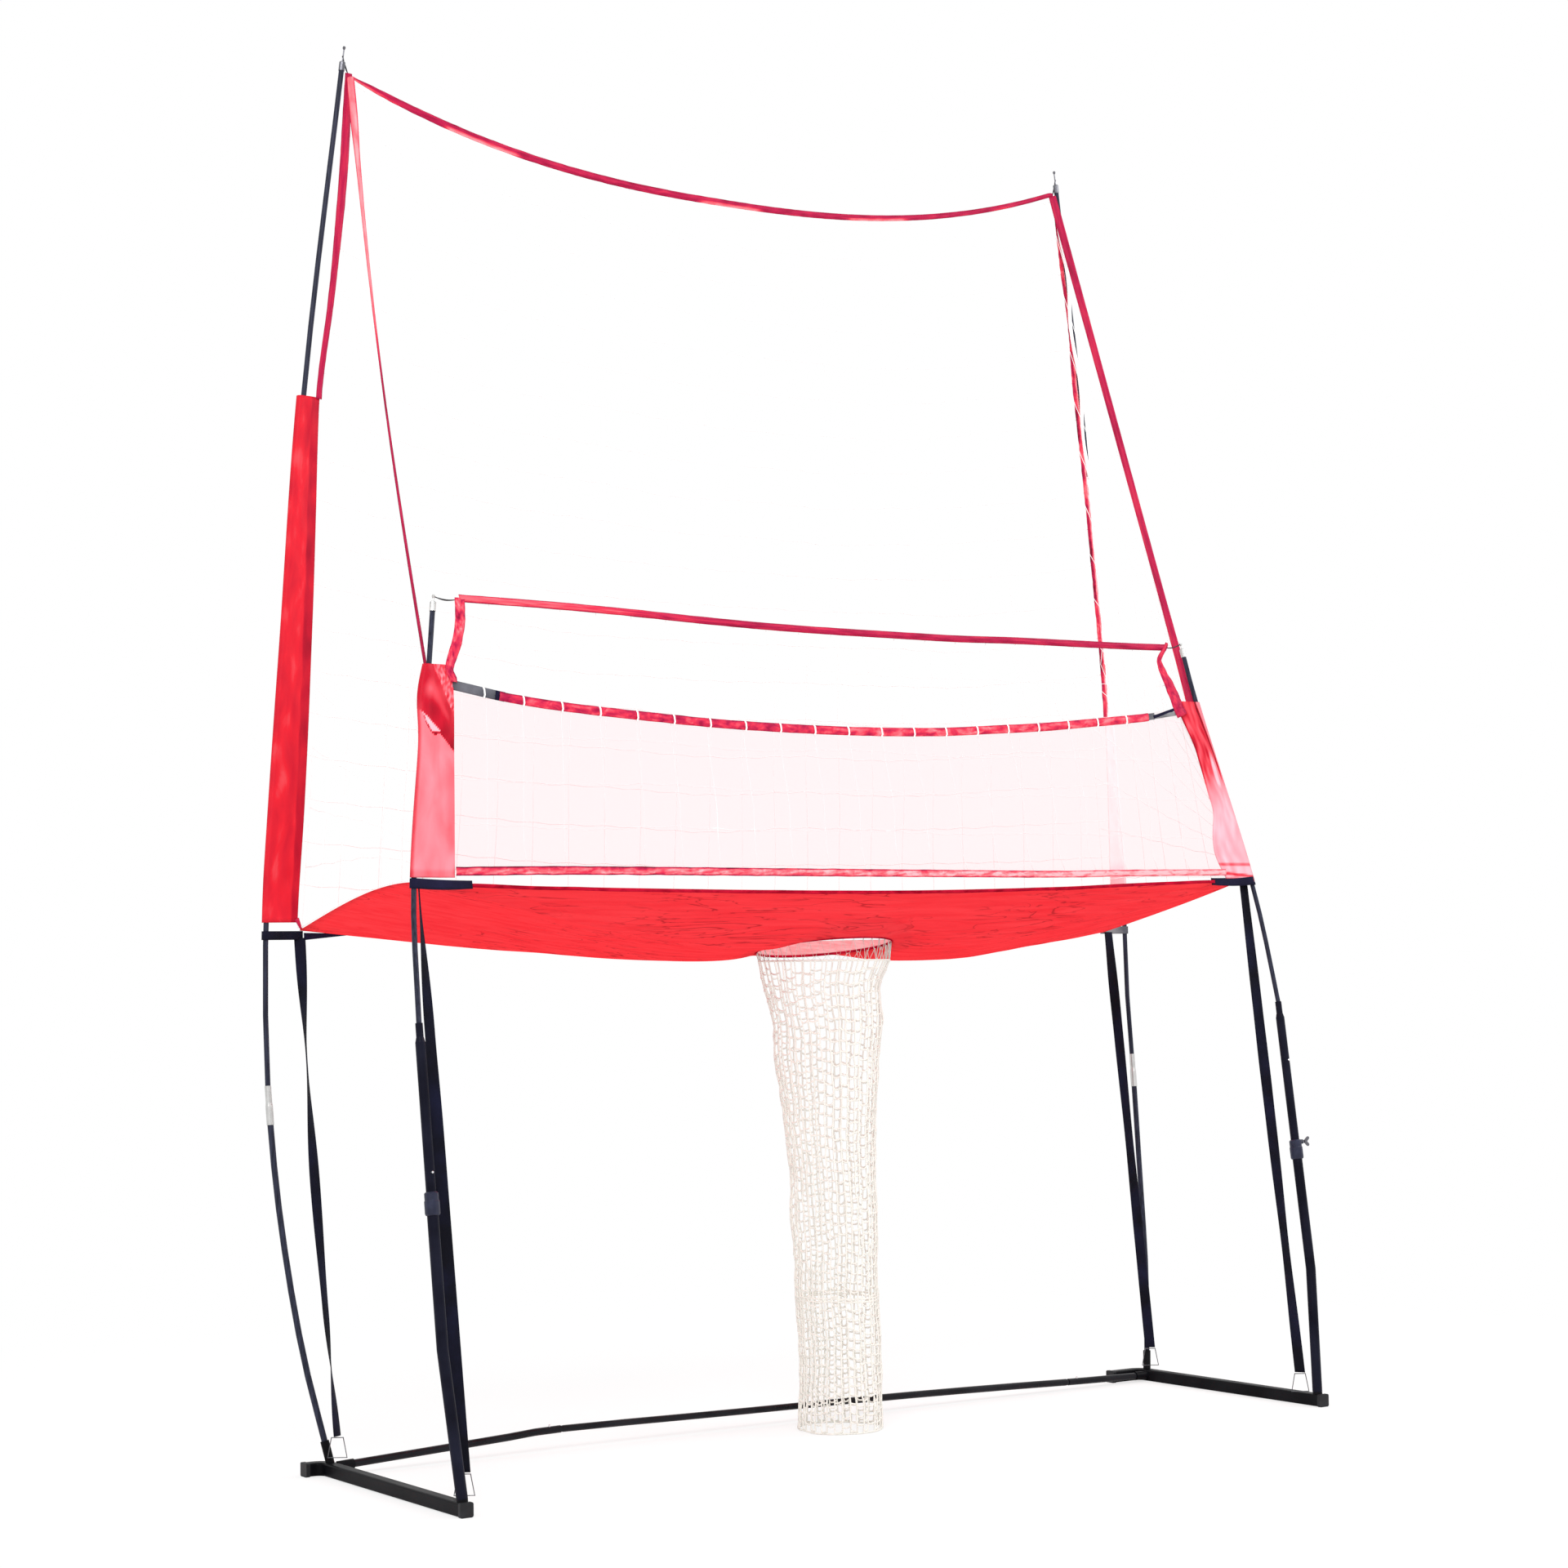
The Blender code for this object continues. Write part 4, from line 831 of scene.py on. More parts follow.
# %% The back net
BACK_EDGE = {
    "left": ((1.236, 0, 1.235), (1.2315, 0, 1.320), (1.2258, 0, 1.396), (1.2168, 0, 1.512),
             (1.2052, 0, 1.704), (1.1957, 0, 1.898), (1.1884, 0, 2.054), (1.181, 0, 2.249),
             (1.1758, 0, 2.406), (1.1700, 0, 2.517), (1.1600, 0, 2.600), (1.1419, 0, 2.715),
             (1.1254, 0, 2.844), (1.1027, 0, 3.061), (1.0869, 0, 3.312)),
    "right": ((1.262, 0, 1.235), (1.260, 0, 1.400), (1.2585, 0, 1.640), (1.255, 0, 1.830),
              (1.250, 0, 1.920), (1.241, 0, 2.040), (1.220, 0, 2.260), (1.203, 0, 2.440),
              (1.189, 0, 2.560), (1.1633, 0, 2.760), (1.1486, 0, 2.950), (1.1269, 0, 3.090),
              (1.1027, 0, 3.300)),
}
BACK_TAPE_X = 1.088


def back_edge(side, z):
    return SIDES[side] * on_route(BACK_EDGE[side], z).x


def back_tape_z(x):
    return 3.130 + 0.168 * (abs(x) / BACK_TAPE_X) ** 2.4


BACK_NET_TOP = 3.298


def back_net_patch(u, v):
    top = min(back_tape_z(mix(-1.08, 1.08, u)), BACK_NET_TOP) - 0.010
    z = mix(tray_back_z(mix(-1.22, 1.22, u)) + 0.008, top, v)
    x = mix(back_edge("left", z), back_edge("right", z), u)
    return place(x, NET_Y, z)


back_net = square_net("back_net_cords", back_net_patch, 24, 20, "frame", "back_net")
print("back net:", len(back_net.data.polygons), "faces")

# %% [markdown]
# The front net hangs between the two rods in their plane, from its own top tape down to the
# gathered trim above the tray.

# %% The front net
FRONT_EDGE = {
    "left": ((1.137, 0, 1.358), (1.109, 0, 1.605), (1.090, 0, 1.790), (1.098, 0, 1.822),
             (1.0755, 0, 1.876), (1.0597, 0, 1.933), (1.056, 0, 1.985)),
    "right": ((1.150, 0, 1.358), (1.126, 0, 1.420), (1.128, 0, 1.470), (1.144, 0, 1.535),
              (1.137, 0, 1.583), (1.124, 0, 1.664), (1.113, 0, 1.717), (1.076, 0, 1.810),
              (1.062, 0, 1.855), (1.036, 0, 1.913), (1.032, 0, 1.940), (1.060, 0, 1.977)),
}


def front_edge(side, z):
    return SIDES[side] * on_route(FRONT_EDGE[side], z).x


PANEL_TOP = (
    (-1.090, 1.7935), (-0.945, 1.769), (-0.803, 1.754), (-0.603, 1.741), (-0.396, 1.730),
    (-0.181, 1.725), (0.042, 1.7245), (0.273, 1.731), (0.435, 1.742), (0.600, 1.754),
    (0.769, 1.771), (0.943, 1.790), (1.078, 1.811),
)


def panel_top(x):
    return height_at(PANEL_TOP, x)


FRONT_TAPE = (
    (-1.058, 1.985), (-0.804, 1.982), (-0.628, 1.9775), (-0.401, 1.969), (-0.219, 1.964),
    (-0.033, 1.962), (0.160, 1.962), (0.359, 1.9625), (0.544, 1.967), (0.929, 1.971),
    (1.062, 1.974),
)


FRONT_NET_FOOT, FRONT_NET_INSET = 1.368, 0.018


def front_net_patch(u, v):
    """The net hangs a little towards the left, and one of its rows runs along the panel's tape."""
    inside = min(1.0, 14 * u, 14 * (1 - u))
    z = mix(FRONT_NET_FOOT, height_at(FRONT_TAPE, mix(-1.05, 1.05, u)), v)
    x = mix(front_edge("left", z) - 0.005, front_edge("right", z) + 0.005, u)
    x -= FRONT_NET_INSET * inside
    beside_tape = max(0.0, 1 - abs(v * 6 - 4)) * inside
    z = mix(z, panel_top(x) + 0.004, beside_tape)
    return place(x, front_y(z) + mix(0.003, 0.0045, inside), z)


front_net = square_net("front_net_cords", front_net_patch, 22, 6, "left_front_pole", "front_net",
                       radius=0.0006)
print("front net:", len(front_net.data.polygons), "faces")

# %% [markdown]
# A side net closes each end, from the back pole to the front rod. It crosses from a fixed pole to
# a sliding one, so it is attached to neither.

# %% The side nets
SIDE_CORNERS = ((1.140, -0.330, 1.817), (1.084, 0.129, 3.220))
side_nets = {}
for side in SIDES:
    high_front, high_back = (place_on(side, spot) for spot in SIDE_CORNERS)

    def side_net_patch(u, v):
        low = place(*tray_side(side, mix(0.98, 0.02, u))) + Vector((0, 0, 0.004))
        return mix(low, mix(high_back, high_front, u), v)

    side_nets[side] = square_net(f"{side}_side_net_cords", side_net_patch, 6, 14, None,
                                 f"{side}_side_net")
print("side net:", len(side_nets["left"].data.polygons), "faces each")

# %% [markdown]
# ## Tapes and trims
#
# The nets are bound with narrow nylon tape and with a casing gathered on a cord. A float
# attribute, tone, tells each point how many layers of cloth the light meets there: 0 is doubled
# and crimson, 1 is a single pale layer.

# %% Toned cloth
RED_TONES = ((0.0, (0.26, 0.003, 0.028)), (0.25, (0.56, 0.011, 0.085)), (0.5, (0.86, 0.045, 0.11)),
             (0.75, (1.0, 0.22, 0.27)), (1.0, (1.0, 0.58, 0.62)))
CRIMSON_TAPE = toned("crimson_tape_cloth", RED_TONES, (14, 160, 1), spread=0.5)
GATHERED = toned("gathered_cloth", RED_TONES, (45, 90, 1), spread=0.9, crease=0.0015)
SLEEVE_CLOTH = toned("sleeve_cloth", ((0.0, (0.30, 0.002, 0.020)), (0.3, (0.62, 0.008, 0.035)),
                                      (0.6, (0.90, 0.022, 0.045)), (1.0, (1.0, 0.34, 0.38))),
                     (30, 7, 1), spread=0.45)
VEIL_CLOTH = toned("veil_cloth", ((0.0, (0.35, 0.002, 0.016)), (0.3, (0.80, 0.012, 0.045)),
                                  (0.5, (1.0, 0.12, 0.17)), (0.76, (1.0, 0.44, 0.52)),
                                  (1.0, (1.0, 0.76, 0.83))), (26, 9, 1), spread=0.20,
                   light_through=0.5)
PALE_VEIL = toned("pale_veil_cloth", ((0.0, (0.76, 0.010, 0.030)), (0.2, (1.0, 0.26, 0.30)),
                                      (0.5, (1.0, 0.80, 0.84)), (0.8, (1.0, 0.95, 0.96))),
                  (26, 9, 1), spread=0.1, light_through=0.15)


def tone_piece(obj, tone):
    """Writes tone(u, v) on each point. The piece's own UV map gives u and v, from 0 to 1."""
    mesh = obj.data
    chart = mesh.uv_layers.active.data
    wide = max(entry.uv.x for entry in chart)
    high = max(entry.uv.y for entry in chart)
    layer = mesh.attributes.new("tone", "FLOAT", "POINT")
    for loop in mesh.loops:
        spot = chart[loop.index].uv
        layer.data[loop.vertex_index].value = tone(spot.x / wide, spot.y / high)
    return obj


def even(u, v):
    return 0.5


def profile(*pairs):
    """A width that varies along a band, from pairs of a share and a width."""
    return lambda u: height_at(pairs, u)


TRIM_SPANS, TRIM_STEP, TRIM_THICKNESS = 60, 0.008, 0.0009


def trim(name, line, width, material, body, tone=even, lift=0.002, rows=6, columns=None,
         face=(0, -1, 0), ruffle=0.0015):
    """A band of cloth along line(u), a shallow bow in section, ruffled across its width."""
    places = [line(k / TRIM_SPANS) for k in range(TRIM_SPANS + 1)]
    length = sum((after - before).length for before, after in zip(places, places[1:]))
    columns = columns or max(24, int(length / TRIM_STEP))
    face = Vector(face)

    def patch(u, v):
        ahead = (line(min(u + 0.004, 1)) - line(max(u - 0.004, 0))).normalized()
        side = face.cross(ahead).normalized()
        out = ahead.cross(side).normalized()
        wide = width(u) if callable(width) else width
        run = u * length
        ripple = noise.noise(Vector((run * 55 + v * 1.4, v * 2.0, run * 7))) * ruffle
        wavy = noise.noise(Vector((run * 22, 9.0, v))) * ruffle * 0.6
        return (line(u) + side * wide * (v - 0.5) * (1 + wavy * 60)
                + out * (lift * math.sin(math.pi * v) + ripple))

    wide = width(0.5) if callable(width) else width
    piece = cloth(name, patch, columns, rows, (length, wide), material, body,
                  thickness=TRIM_THICKNESS)
    return tone_piece(piece, tone)


# %% [markdown]
# The two top tapes are folded over the net's top cord. Where a tape is doubled it is dark, and
# where one layer shows below the fold it is pale.

# %% The top tapes
def back_tape_tone(u, v):
    """Crimson, with a pale lower line here and there."""
    pale = smooth(noise.noise(Vector((u * 9, 0, 4))) * 5 - 0.2) + smooth(1 - u * 12)
    fine = 0.12 * noise.noise(Vector((u * 90, v * 2, 0)))
    return mix(0.24, 0.82, min(pale, 1.0) * smooth(1.9 - v * 4)) + fine


def front_tape_tone(u, v):
    """Pale between two dark edges at the left, then crimson with fine pale lines."""
    start = smooth(1.25 - u * 3.6)
    edges = 0.50 * smooth(abs(v - 0.5) * 12 - 3.8) * start
    fine = 0.26 * noise.noise(Vector((u * 34 + v * 2, v * 5, 6)))
    return mix(0.26, 0.66, start) - edges + fine * (1 - 0.5 * u)


def back_tape_line(u):
    x = mix(-1.088, 1.098, u)
    return place(x, NET_Y - 0.002, back_tape_z(min(x, 1.088)) + 0.002)


back_tape_width = profile((0.0, 0.005), (0.04, 0.015), (0.15, 0.019), (0.6, 0.017), (1.0, 0.012))
back_tape = trim("back_net_tape", back_tape_line, back_tape_width, CRIMSON_TAPE, "frame",
                 back_tape_tone, lift=0.003)
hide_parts("back_net_top_tape")


def front_tape_line(u):
    x = mix(-1.058, 1.062, u)
    z = height_at(FRONT_TAPE, x)
    return place(x, front_y(z) - 0.0035, z)


front_tape = trim("front_net_tape", front_tape_line, 0.017, CRIMSON_TAPE, "left_front_pole",
                  front_tape_tone, lift=0.004)
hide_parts("front_net_top_tape")
print("top tapes at", round(back_tape_z(0), 3), "and", round(height_at(FRONT_TAPE, 0), 3))

# %% [markdown]
# Down each edge of the nets runs the gathered casing. On the front net it hangs free of the rod
# between the top tape and the sleeve, so it wanders. The back net's right edge also has a thick
# white rope, which lies against the pole.

# %% The edge casings
def casing_tone(u, v):
    patches = noise.noise(Vector((u * 17 + v * 2.2, v * 2.5, 3.3))) * 0.55
    return 0.52 + patches - 0.30 * abs(v - 0.5)


def edge_line(edge, side, low, high, depth, shift=0.0):
    def line(u):
        z = mix(low, high, u)
        return place(edge(side, z) + shift, depth(z), z)
    return line


def right_casing_tone(u, v):
    return 0.36 + 0.35 * (casing_tone(u, v) - 0.45)


FRONT_CASINGS = {
    "left": (profile((0.0, 0.016), (0.3, 0.024), (1.0, 0.026)), casing_tone),
    "right": (profile((0.0, 0.036), (0.25, 0.034), (0.5, 0.027), (0.8, 0.015), (1.0, 0.012)),
              right_casing_tone),
}
for side, (width, tone) in FRONT_CASINGS.items():
    line = edge_line(front_edge, side, 1.790, 1.985, lambda z: front_y(z) - 0.0055)
    trim(f"{side}_front_casing", line, width, GATHERED, "left_front_pole", tone,
         ruffle=0.003)

left_back_width = profile(
    (0.0, 0.0150), (0.06, 0.0150), (0.22, 0.0155), (0.33, 0.0165), (0.43, 0.0175),
    (0.49, 0.0195), (0.70, 0.0224), (0.86, 0.0215), (1.0, 0.018),
)


def right_back_tone(u, v):
    """Mottled: crimson on the net's side and pale towards the pole."""
    mottle = noise.noise(Vector((u * 26, v * 1.4, 3.3)))
    crimson = 0.34 + 0.6 * mottle
    pale = 0.86 + 0.5 * mottle
    return mix(pale, crimson, smooth((v - 0.40) * 6 + 1.4 * mottle))


trim("left_back_casing", edge_line(back_edge, "left", 2.506, 3.306, lambda z: NET_Y - 0.002,
                                   -0.0025), left_back_width, CRIMSON_TAPE, "frame",
     lambda u, v: 0.24 + 0.08 * casing_tone(u, v), ruffle=0.001)


def right_back_edge(side, z):
    return back_edge(side, z) + 0.003 * smooth((z - 2.5) * 4)


right_back_line = edge_line(right_back_edge, "right", 1.816, 3.296, lambda z: NET_Y - 0.003)
trim("right_back_casing", right_back_line, 0.018, GATHERED, "frame",
     right_back_tone, ruffle=0.002)

ROPE_LOW, ROPE_LENGTH, ROPE_STEPS, ROPE_OFF_POLE = 2.505, 0.745, 60, 0.0096


def rope_at(z):
    """The rope's middle, which winds to and fro on the pole's front left."""
    turn = 0.5 * math.sin(z * 21) - 2.27
    out = Vector((math.cos(turn), math.sin(turn), 0))
    return place(*on_route(BACK_POLE, z)) + out * ROPE_OFF_POLE


rope = [rope_at(ROPE_LOW + ROPE_LENGTH * k / ROPE_STEPS) for k in range(ROPE_STEPS + 1)]
cords("right_back_rope", [rope], 0.0055, WHITE_CORD, "frame", sides=10)
print("edge casings: 4, rope:", ROPE_LENGTH, "m")

# %% [markdown]
# A gathered trim closes the foot of the front panel, just above the tray. It is nearly white in
# its middle, where it is one layer, and darker at its two borders, which are folded.

# %% The trim above the tray
FRONT_TRIM = (
    (-1.136, 1.363), (-0.838, 1.3665), (-0.487, 1.3665), (-0.243, 1.366), (0.331, 1.3655),
    (0.593, 1.366), (0.810, 1.370), (1.148, 1.374),
)


def front_trim_line(u):
    x = mix(FRONT_TRIM[0][0], FRONT_TRIM[-1][0], u)
    z = height_at(FRONT_TRIM, x)
    return place(x, front_y(z) - 0.0055, z)


def front_trim_tone(u, v):
    core = mix(0.66, 1.0, smooth(u * 1.1 - 0.05))
    border = mix(0.50, 0.34, u) * smooth(abs(v - 0.5) * 12 - 3.6)
    top = 0.16 * smooth(v * 3 - 1.6) * (1 - u)
    return core + 0.34 * noise.noise(Vector((u * 70 - v * 2, v * 2, 0))) - border - top


trim("front_panel_trim", front_trim_line, lambda u: mix(0.020, 0.016, u), GATHERED,
     "left_front_pole", front_trim_tone, rows=10, ruffle=0.003)
print("trim from x", FRONT_TRIM[0][0], "to", FRONT_TRIM[-1][0])

# %% [markdown]
# The front panel is a veil so fine that it is nearly invisible. Its top follows a tape that dips
# in the middle, and ends in webbing at both sides.

# %% The front panel and its tape
def panel_patch(u, v):
    across = mix(-1, 1, u)
    z = mix(1.360, panel_top(across * 1.085), v)
    x = mix(front_edge("left", z) - 0.004, front_edge("right", z) + 0.004, u)
    ripple = 0.002 * noise.noise(Vector((x * 4, z * 4, 0)))
    return place(x, front_y(z) + 0.0015 + ripple, z)


panel = cloth("front_panel_mesh", panel_patch, 90, 16, (2.25, 0.39), PANEL_MESH,
              "left_front_pole", thickness=0)
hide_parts("front_panel")


def panel_tape_line(low, high):
    def line(u):
        x = mix(low, high, u)
        z = panel_top(x) - 0.010
        return place(x, front_y(z) - 0.0012, z)
    return line


def panel_tape_tone(u, v):
    light = 0.16 * smooth((u - 0.42) * 8)
    return (0.40 + light + 0.34 * noise.noise(Vector((u * 60, v * 2.2, 8)))
            - 0.2 * smooth(v * 4 - 3))


trim("front_panel_tape", panel_tape_line(-0.975, 0.968), 0.021, GATHERED, "left_front_pole",
     panel_tape_tone)
print("panel top from", round(panel_top(0), 3), "to", round(panel_top(1.078), 3))

# %% [markdown]
# Flat webbing carries the tape on to the rods, and forks in two at the right. Where each upright
# cord of the net meets the tape it is turned round it, and the turns show as white stitches.

# %% The tape's webbing and stitches
def flat_webbing(name, line, width, material, body="left_front_pole", columns=None):
    trim(name, line, width, material, body, ruffle=0, lift=0.0005, columns=columns)


for name, low, high, width, material in (
        ("left_panel_webbing", -1.092, -0.985, 0.022, SLATE_WEBBING),
        ("left_panel_webbing_end", -0.986, -0.962, 0.022, NAVY_WEBBING),
        ("right_panel_webbing", 0.966, 0.990, 0.017, GREY_WEBBING)):
    flat_webbing(name, panel_tape_line(low, high), width, material, columns=12)

TAPE_END_X = 0.972
TURN_SHAPE = ((0.003, 0.002, 0.0), (-0.004, 0.0055, 0.001), (-0.016, 0.0055, 0.001),
              (-0.023, 0.002, 0.0))
turns = []
for column in range(1, 22):
    x = mix(front_edge("left", 1.75) - 0.005, front_edge("right", 1.75) + 0.005, column / 22)
    x -= FRONT_NET_INSET
    if x < TAPE_END_X:
        turns.append([place(x + wander, front_y(panel_top(x) + rise) - out, panel_top(x) + rise)
                      for rise, out, wander in TURN_SHAPE])
cords("front_tape_turns", turns, 0.0022, WHITE_CORD, "left_front_pole", sides=6)


def prong_line(rise):
    def line(u):
        x = mix(0.985, 1.082, u)
        z = panel_top(x) - 0.012 + rise * u
        return place(x, front_y(z) - 0.0014 - rise * 0.1, z)
    return line


flat_webbing("right_panel_webbing_upper", prong_line(0.013), 0.008, NAVY_WEBBING)
flat_webbing("right_panel_webbing_lower", prong_line(-0.001), 0.011, GREY_WEBBING)
print("stitches on the tape:", len(turns))

# %% [markdown]
# A crimson tape runs along the top of each side net, from the top of the back pole down to the
# front rod. It is drawn tight and turns a little on its way.

# %% The side tapes
SIDE_TAPE_ENDS = {
    "left": ((-1.147, -0.339, 1.822), (-1.093, 0.128, 3.292)),
    "right": ((1.142, -0.339, 1.822), (1.085, 0.128, 3.292)),
}


def left_side_tone(u, v):
    edges = 0.5 * smooth(abs(v - 0.5) * 8 - 2.6)
    return mix(0.20, 0.80, smooth((u - 0.42) * 4)) - edges


def right_side_tone(u, v):
    return 0.27 + 0.05 * math.sin(u * 20) + 0.2 * smooth(v * 5 - 4) * (1 - u)


SIDE_TAPE_LOOKS = {
    "left": (-0.018, profile((0.0, 0.007), (0.25, 0.006), (0.50, 0.0045), (0.70, 0.007),
                             (0.85, 0.012), (0.93, 0.019), (1.0, 0.018)), left_side_tone),
    "right": (0.0, profile((0.0, 0.025), (0.08, 0.021), (0.2, 0.018), (0.6, 0.019),
                           (0.95, 0.021), (1.0, 0.020)), right_side_tone),
}
side_tapes = {}
for side, (bow, width, tone) in SIDE_TAPE_LOOKS.items():
    start, end = (place(*spot) for spot in SIDE_TAPE_ENDS[side])

    def side_tape_line(u):
        return mix(start, end, u) + Vector((bow * math.sin(math.pi * u), 0, 0))

    side_tapes[side] = trim(f"{side}_side_tape_cloth", side_tape_line, width, CRIMSON_TAPE, None,
                            tone, face=(-0.6, -0.8, 0.1), ruffle=0.0006)
    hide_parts(f"{side}_side_tape")
print("side tape:", round((end - start).length, 3), "m")

# %% [markdown]
# ## Sleeves
#
# A sleeve is cloth folded round a pole and sewn shut towards the net. One patch makes all four,
# and the loops of webbing at the tray's corners too: two layers from the seam out to the pole, and
# half a turn round it.

# %% Cloth folded round a pole
def folded(centre, tail, radius, flat, turn, layer):
    """A patch of flat steps out to the pole, turn steps round it and flat steps back.

    layer(spot, out, way, share, v) places a point of the two layers, where out points away from
    the middle of the fold, way is 1 or -1 and share runs from the seam (0) to the pole (1).
    """
    count = 2 * flat + turn

    def patch(u, v):
        middle, end = centre(v), tail(v)
        along = Vector((end.x - middle.x, end.y - middle.y, 0)).normalized()
        across = Vector((-along.y, along.x, 0))
        step = u * count
        if flat <= step <= count - flat:
            angle = math.pi * (step - flat) / turn
            return middle + radius * (across * math.cos(angle) - along * math.sin(angle))
        share = step / flat if step < flat else (count - step) / flat
        way = 1 if step < flat else -1
        return layer(mix(end, middle, share), across * way, way, share, v)
    return patch


SLEEVE_COLUMNS = (40, 10)
SLEEVE_GAP = 0.0016


def no_relief(share, v):
    return 0.0


def sleeve(side, end, centre, tail, radius, rows, size, material, body, tone, puff=0.003,
           relief=no_relief):
    flat, turn = SLEEVE_COLUMNS

    def layer(spot, out, way, share, v):
        ripple = noise.noise(Vector((spot.x * 24, 3 * way, spot.z * 15))) * puff
        fold = noise.noise(Vector((spot.x * 60, way, spot.z * 40))) * puff * 0.35
        free = math.sin(math.pi * min(share, 1))
        return spot + out * (mix(SLEEVE_GAP / 2, radius, share) + (ripple + fold) * free
                             + relief(share, v) * free)

    piece = cloth(f"{side}_{end}_sleeve_cloth", folded(centre, tail, radius, flat, turn, layer),
                  2 * flat + turn, rows, size, material, body, thickness=0.0007)
    tone_piece(piece, tone)
    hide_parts(f"{side}_{end}_sleeve")


def layer_share(u):
    """How far across the flat layers a point is, from 0 at the seam to 1 at the pole."""
    flat, turn = SLEEVE_COLUMNS
    step = u * (2 * flat + turn)
    share = min(step, 2 * flat + turn - step) / flat
    return min(share, 1.0)


# %% [markdown]
# The back sleeves run from the tray up to half the pole's height. The left one is red, with a dark
# seam that wanders up its side. The right one is pale towards the front and red behind.

# %% The back sleeves
BACK_SLEEVE = (1.263, 2.510)
BACK_SLACK = {"left": 0.008, "right": 0.0}
for side in SIDES:
    def back_centre(v):
        x, y, z = on_route(BACK_POLE, mix(*BACK_SLEEVE, v))
        return place_on(side, (x + BACK_SLACK[side] * smooth(v * 2 - 1), y, z))

    def back_tail(v):
        z = mix(*BACK_SLEEVE, v)
        return place(back_edge(side, z), NET_Y, z)

    def back_tone(u, v):
        share = layer_share(u)
        if side == "right":
            speckle = 0.1 * noise.noise(Vector((share, v * 30, 2)))
            front = mix(0.32, 0.95, smooth((v - 0.085) * 14))
            return (front if u < 0.5 else 0.0) + speckle
        seam = mix(0.22, 0.42, v) + 0.05 * noise.noise(Vector((0, v * 16, 7)))
        dark = 0.34 + 0.16 * noise.noise(Vector((share * 2, v * 24, 2)))
        light = 0.55 + 0.14 * noise.noise(Vector((share * 3, v * 20, 5)))
        return mix(dark, light, smooth((share - seam) * 14 + 0.5))

    sleeve(side, "back", back_centre, back_tail, 0.0092, 110, (0.17, 1.247),
           SLEEVE_CLOTH if side == "left" else PALE_VEIL, "frame", back_tone)


def sleeve_tail_line(u):
    return place(mix(-1.2375, -1.2240, u), NET_Y - 0.002, mix(1.272, 1.244, u))


trim("left_back_sleeve_tail", sleeve_tail_line, lambda u: mix(0.012, 0.004, u), CRIMSON_TAPE,
     "frame", lambda u, v: 0.35, ruffle=0, columns=10)
print("back sleeves from", *BACK_SLEEVE)

# %% [markdown]
# The front sleeves are short and thin. Their folds are drawn as tones across the cloth, because
# they lie flat: a tone says how many layers overlap there, and round the folds the tones also
# paint highlights and shade. Only the left one's fold stands proud. Each tone function works with
# shares across and down the sleeve.

# %% The front sleeves
FRONT_SLEEVE = (1.349, 1.830)
FRONT_SLACK = {"left": 0.014, "right": 0.0}
FRONT_RADIUS = 0.0088


def across_sleeve(side, u, v):
    """How far in from the sleeve's outer edge a point is, from 0 there to 1 at the seam."""
    flat, turn = SLEEVE_COLUMNS
    step = u * (2 * flat + turn)
    z = mix(*FRONT_SLEEVE, v)
    reach = on_route(FRONT_ROD, z)[0] - on_route(FRONT_EDGE[side], z)[0]
    inward = (1 - layer_share(u)) * reach
    if flat < step < flat + turn:
        inward = -FRONT_RADIUS * math.sin(math.pi * (step - flat) / turn)
    return (inward + FRONT_RADIUS) / (reach + FRONT_RADIUS)


def fold_heights(x):
    """The slanted fold's upper and lower edge, as shares down from the sleeve's top."""
    upper = 0.25 * max(0.0, x - 0.40) / 0.60
    return upper, 0.215 + 0.185 * max(x, 0.0) ** 1.1


def left_front_tone(u, v):
    """A crimson fold slants across the top with painted highlights and shade in and below it, and
    the lower part is one pale layer.
    """
    x, down = across_sleeve("left", u, v), 1 - v
    upper, lower = fold_heights(x)
    if down < upper:
        return 0.56 + 0.4 * noise.noise(Vector((x * 14 + down * 20, down * 50, 1)))
    if down < lower:
        inside = (down - upper) / (lower - upper)
        # A painted highlight across the middle of the fold, and painted shade towards its lower
        # right.
        painted_gleam = 0.16 * smooth(1 - abs(inside - 0.45) * 4) * smooth(2 - abs(x - 0.5) * 5)
        return 0.34 + painted_gleam + 0.12 * noise.noise(Vector((x * 4, down * 12, 1))) - 0.20 * x * inside
    # Just below the fold: a pale triangle of painted highlight, then a thin dark line of painted
    # shadow under the fold.
    highlight_reach = 0.045 * math.sin(math.pi * min(1.0, max(0.0, (x - 0.08) / 0.50)))
    if down < lower + highlight_reach:
        return 1.0
    if down < lower + highlight_reach + 0.010 * smooth(x * 8 - 0.6):
        return 0.10
    grid = 0.09 * smooth(x * 5 - 3.6) * smooth((down - 0.4) * 8) * smooth((0.93 - down) * 9)
    edge = 0.22 * smooth(1 - x * 16) + 0.10 * smooth((down - 0.955) * 40)
    return 0.69 + 0.06 * noise.noise(Vector((x * 4, down * 7, 1))) - grid - edge


def left_front_relief(share, v):
    """The doubled fold stands a few millimetres proud of the sleeve."""
    upper, lower = fold_heights(1 - share)
    if upper < 1 - v < lower:
        return 0.006 * math.sin(math.pi * (1 - v - upper) / (lower - upper))
    return 0.0


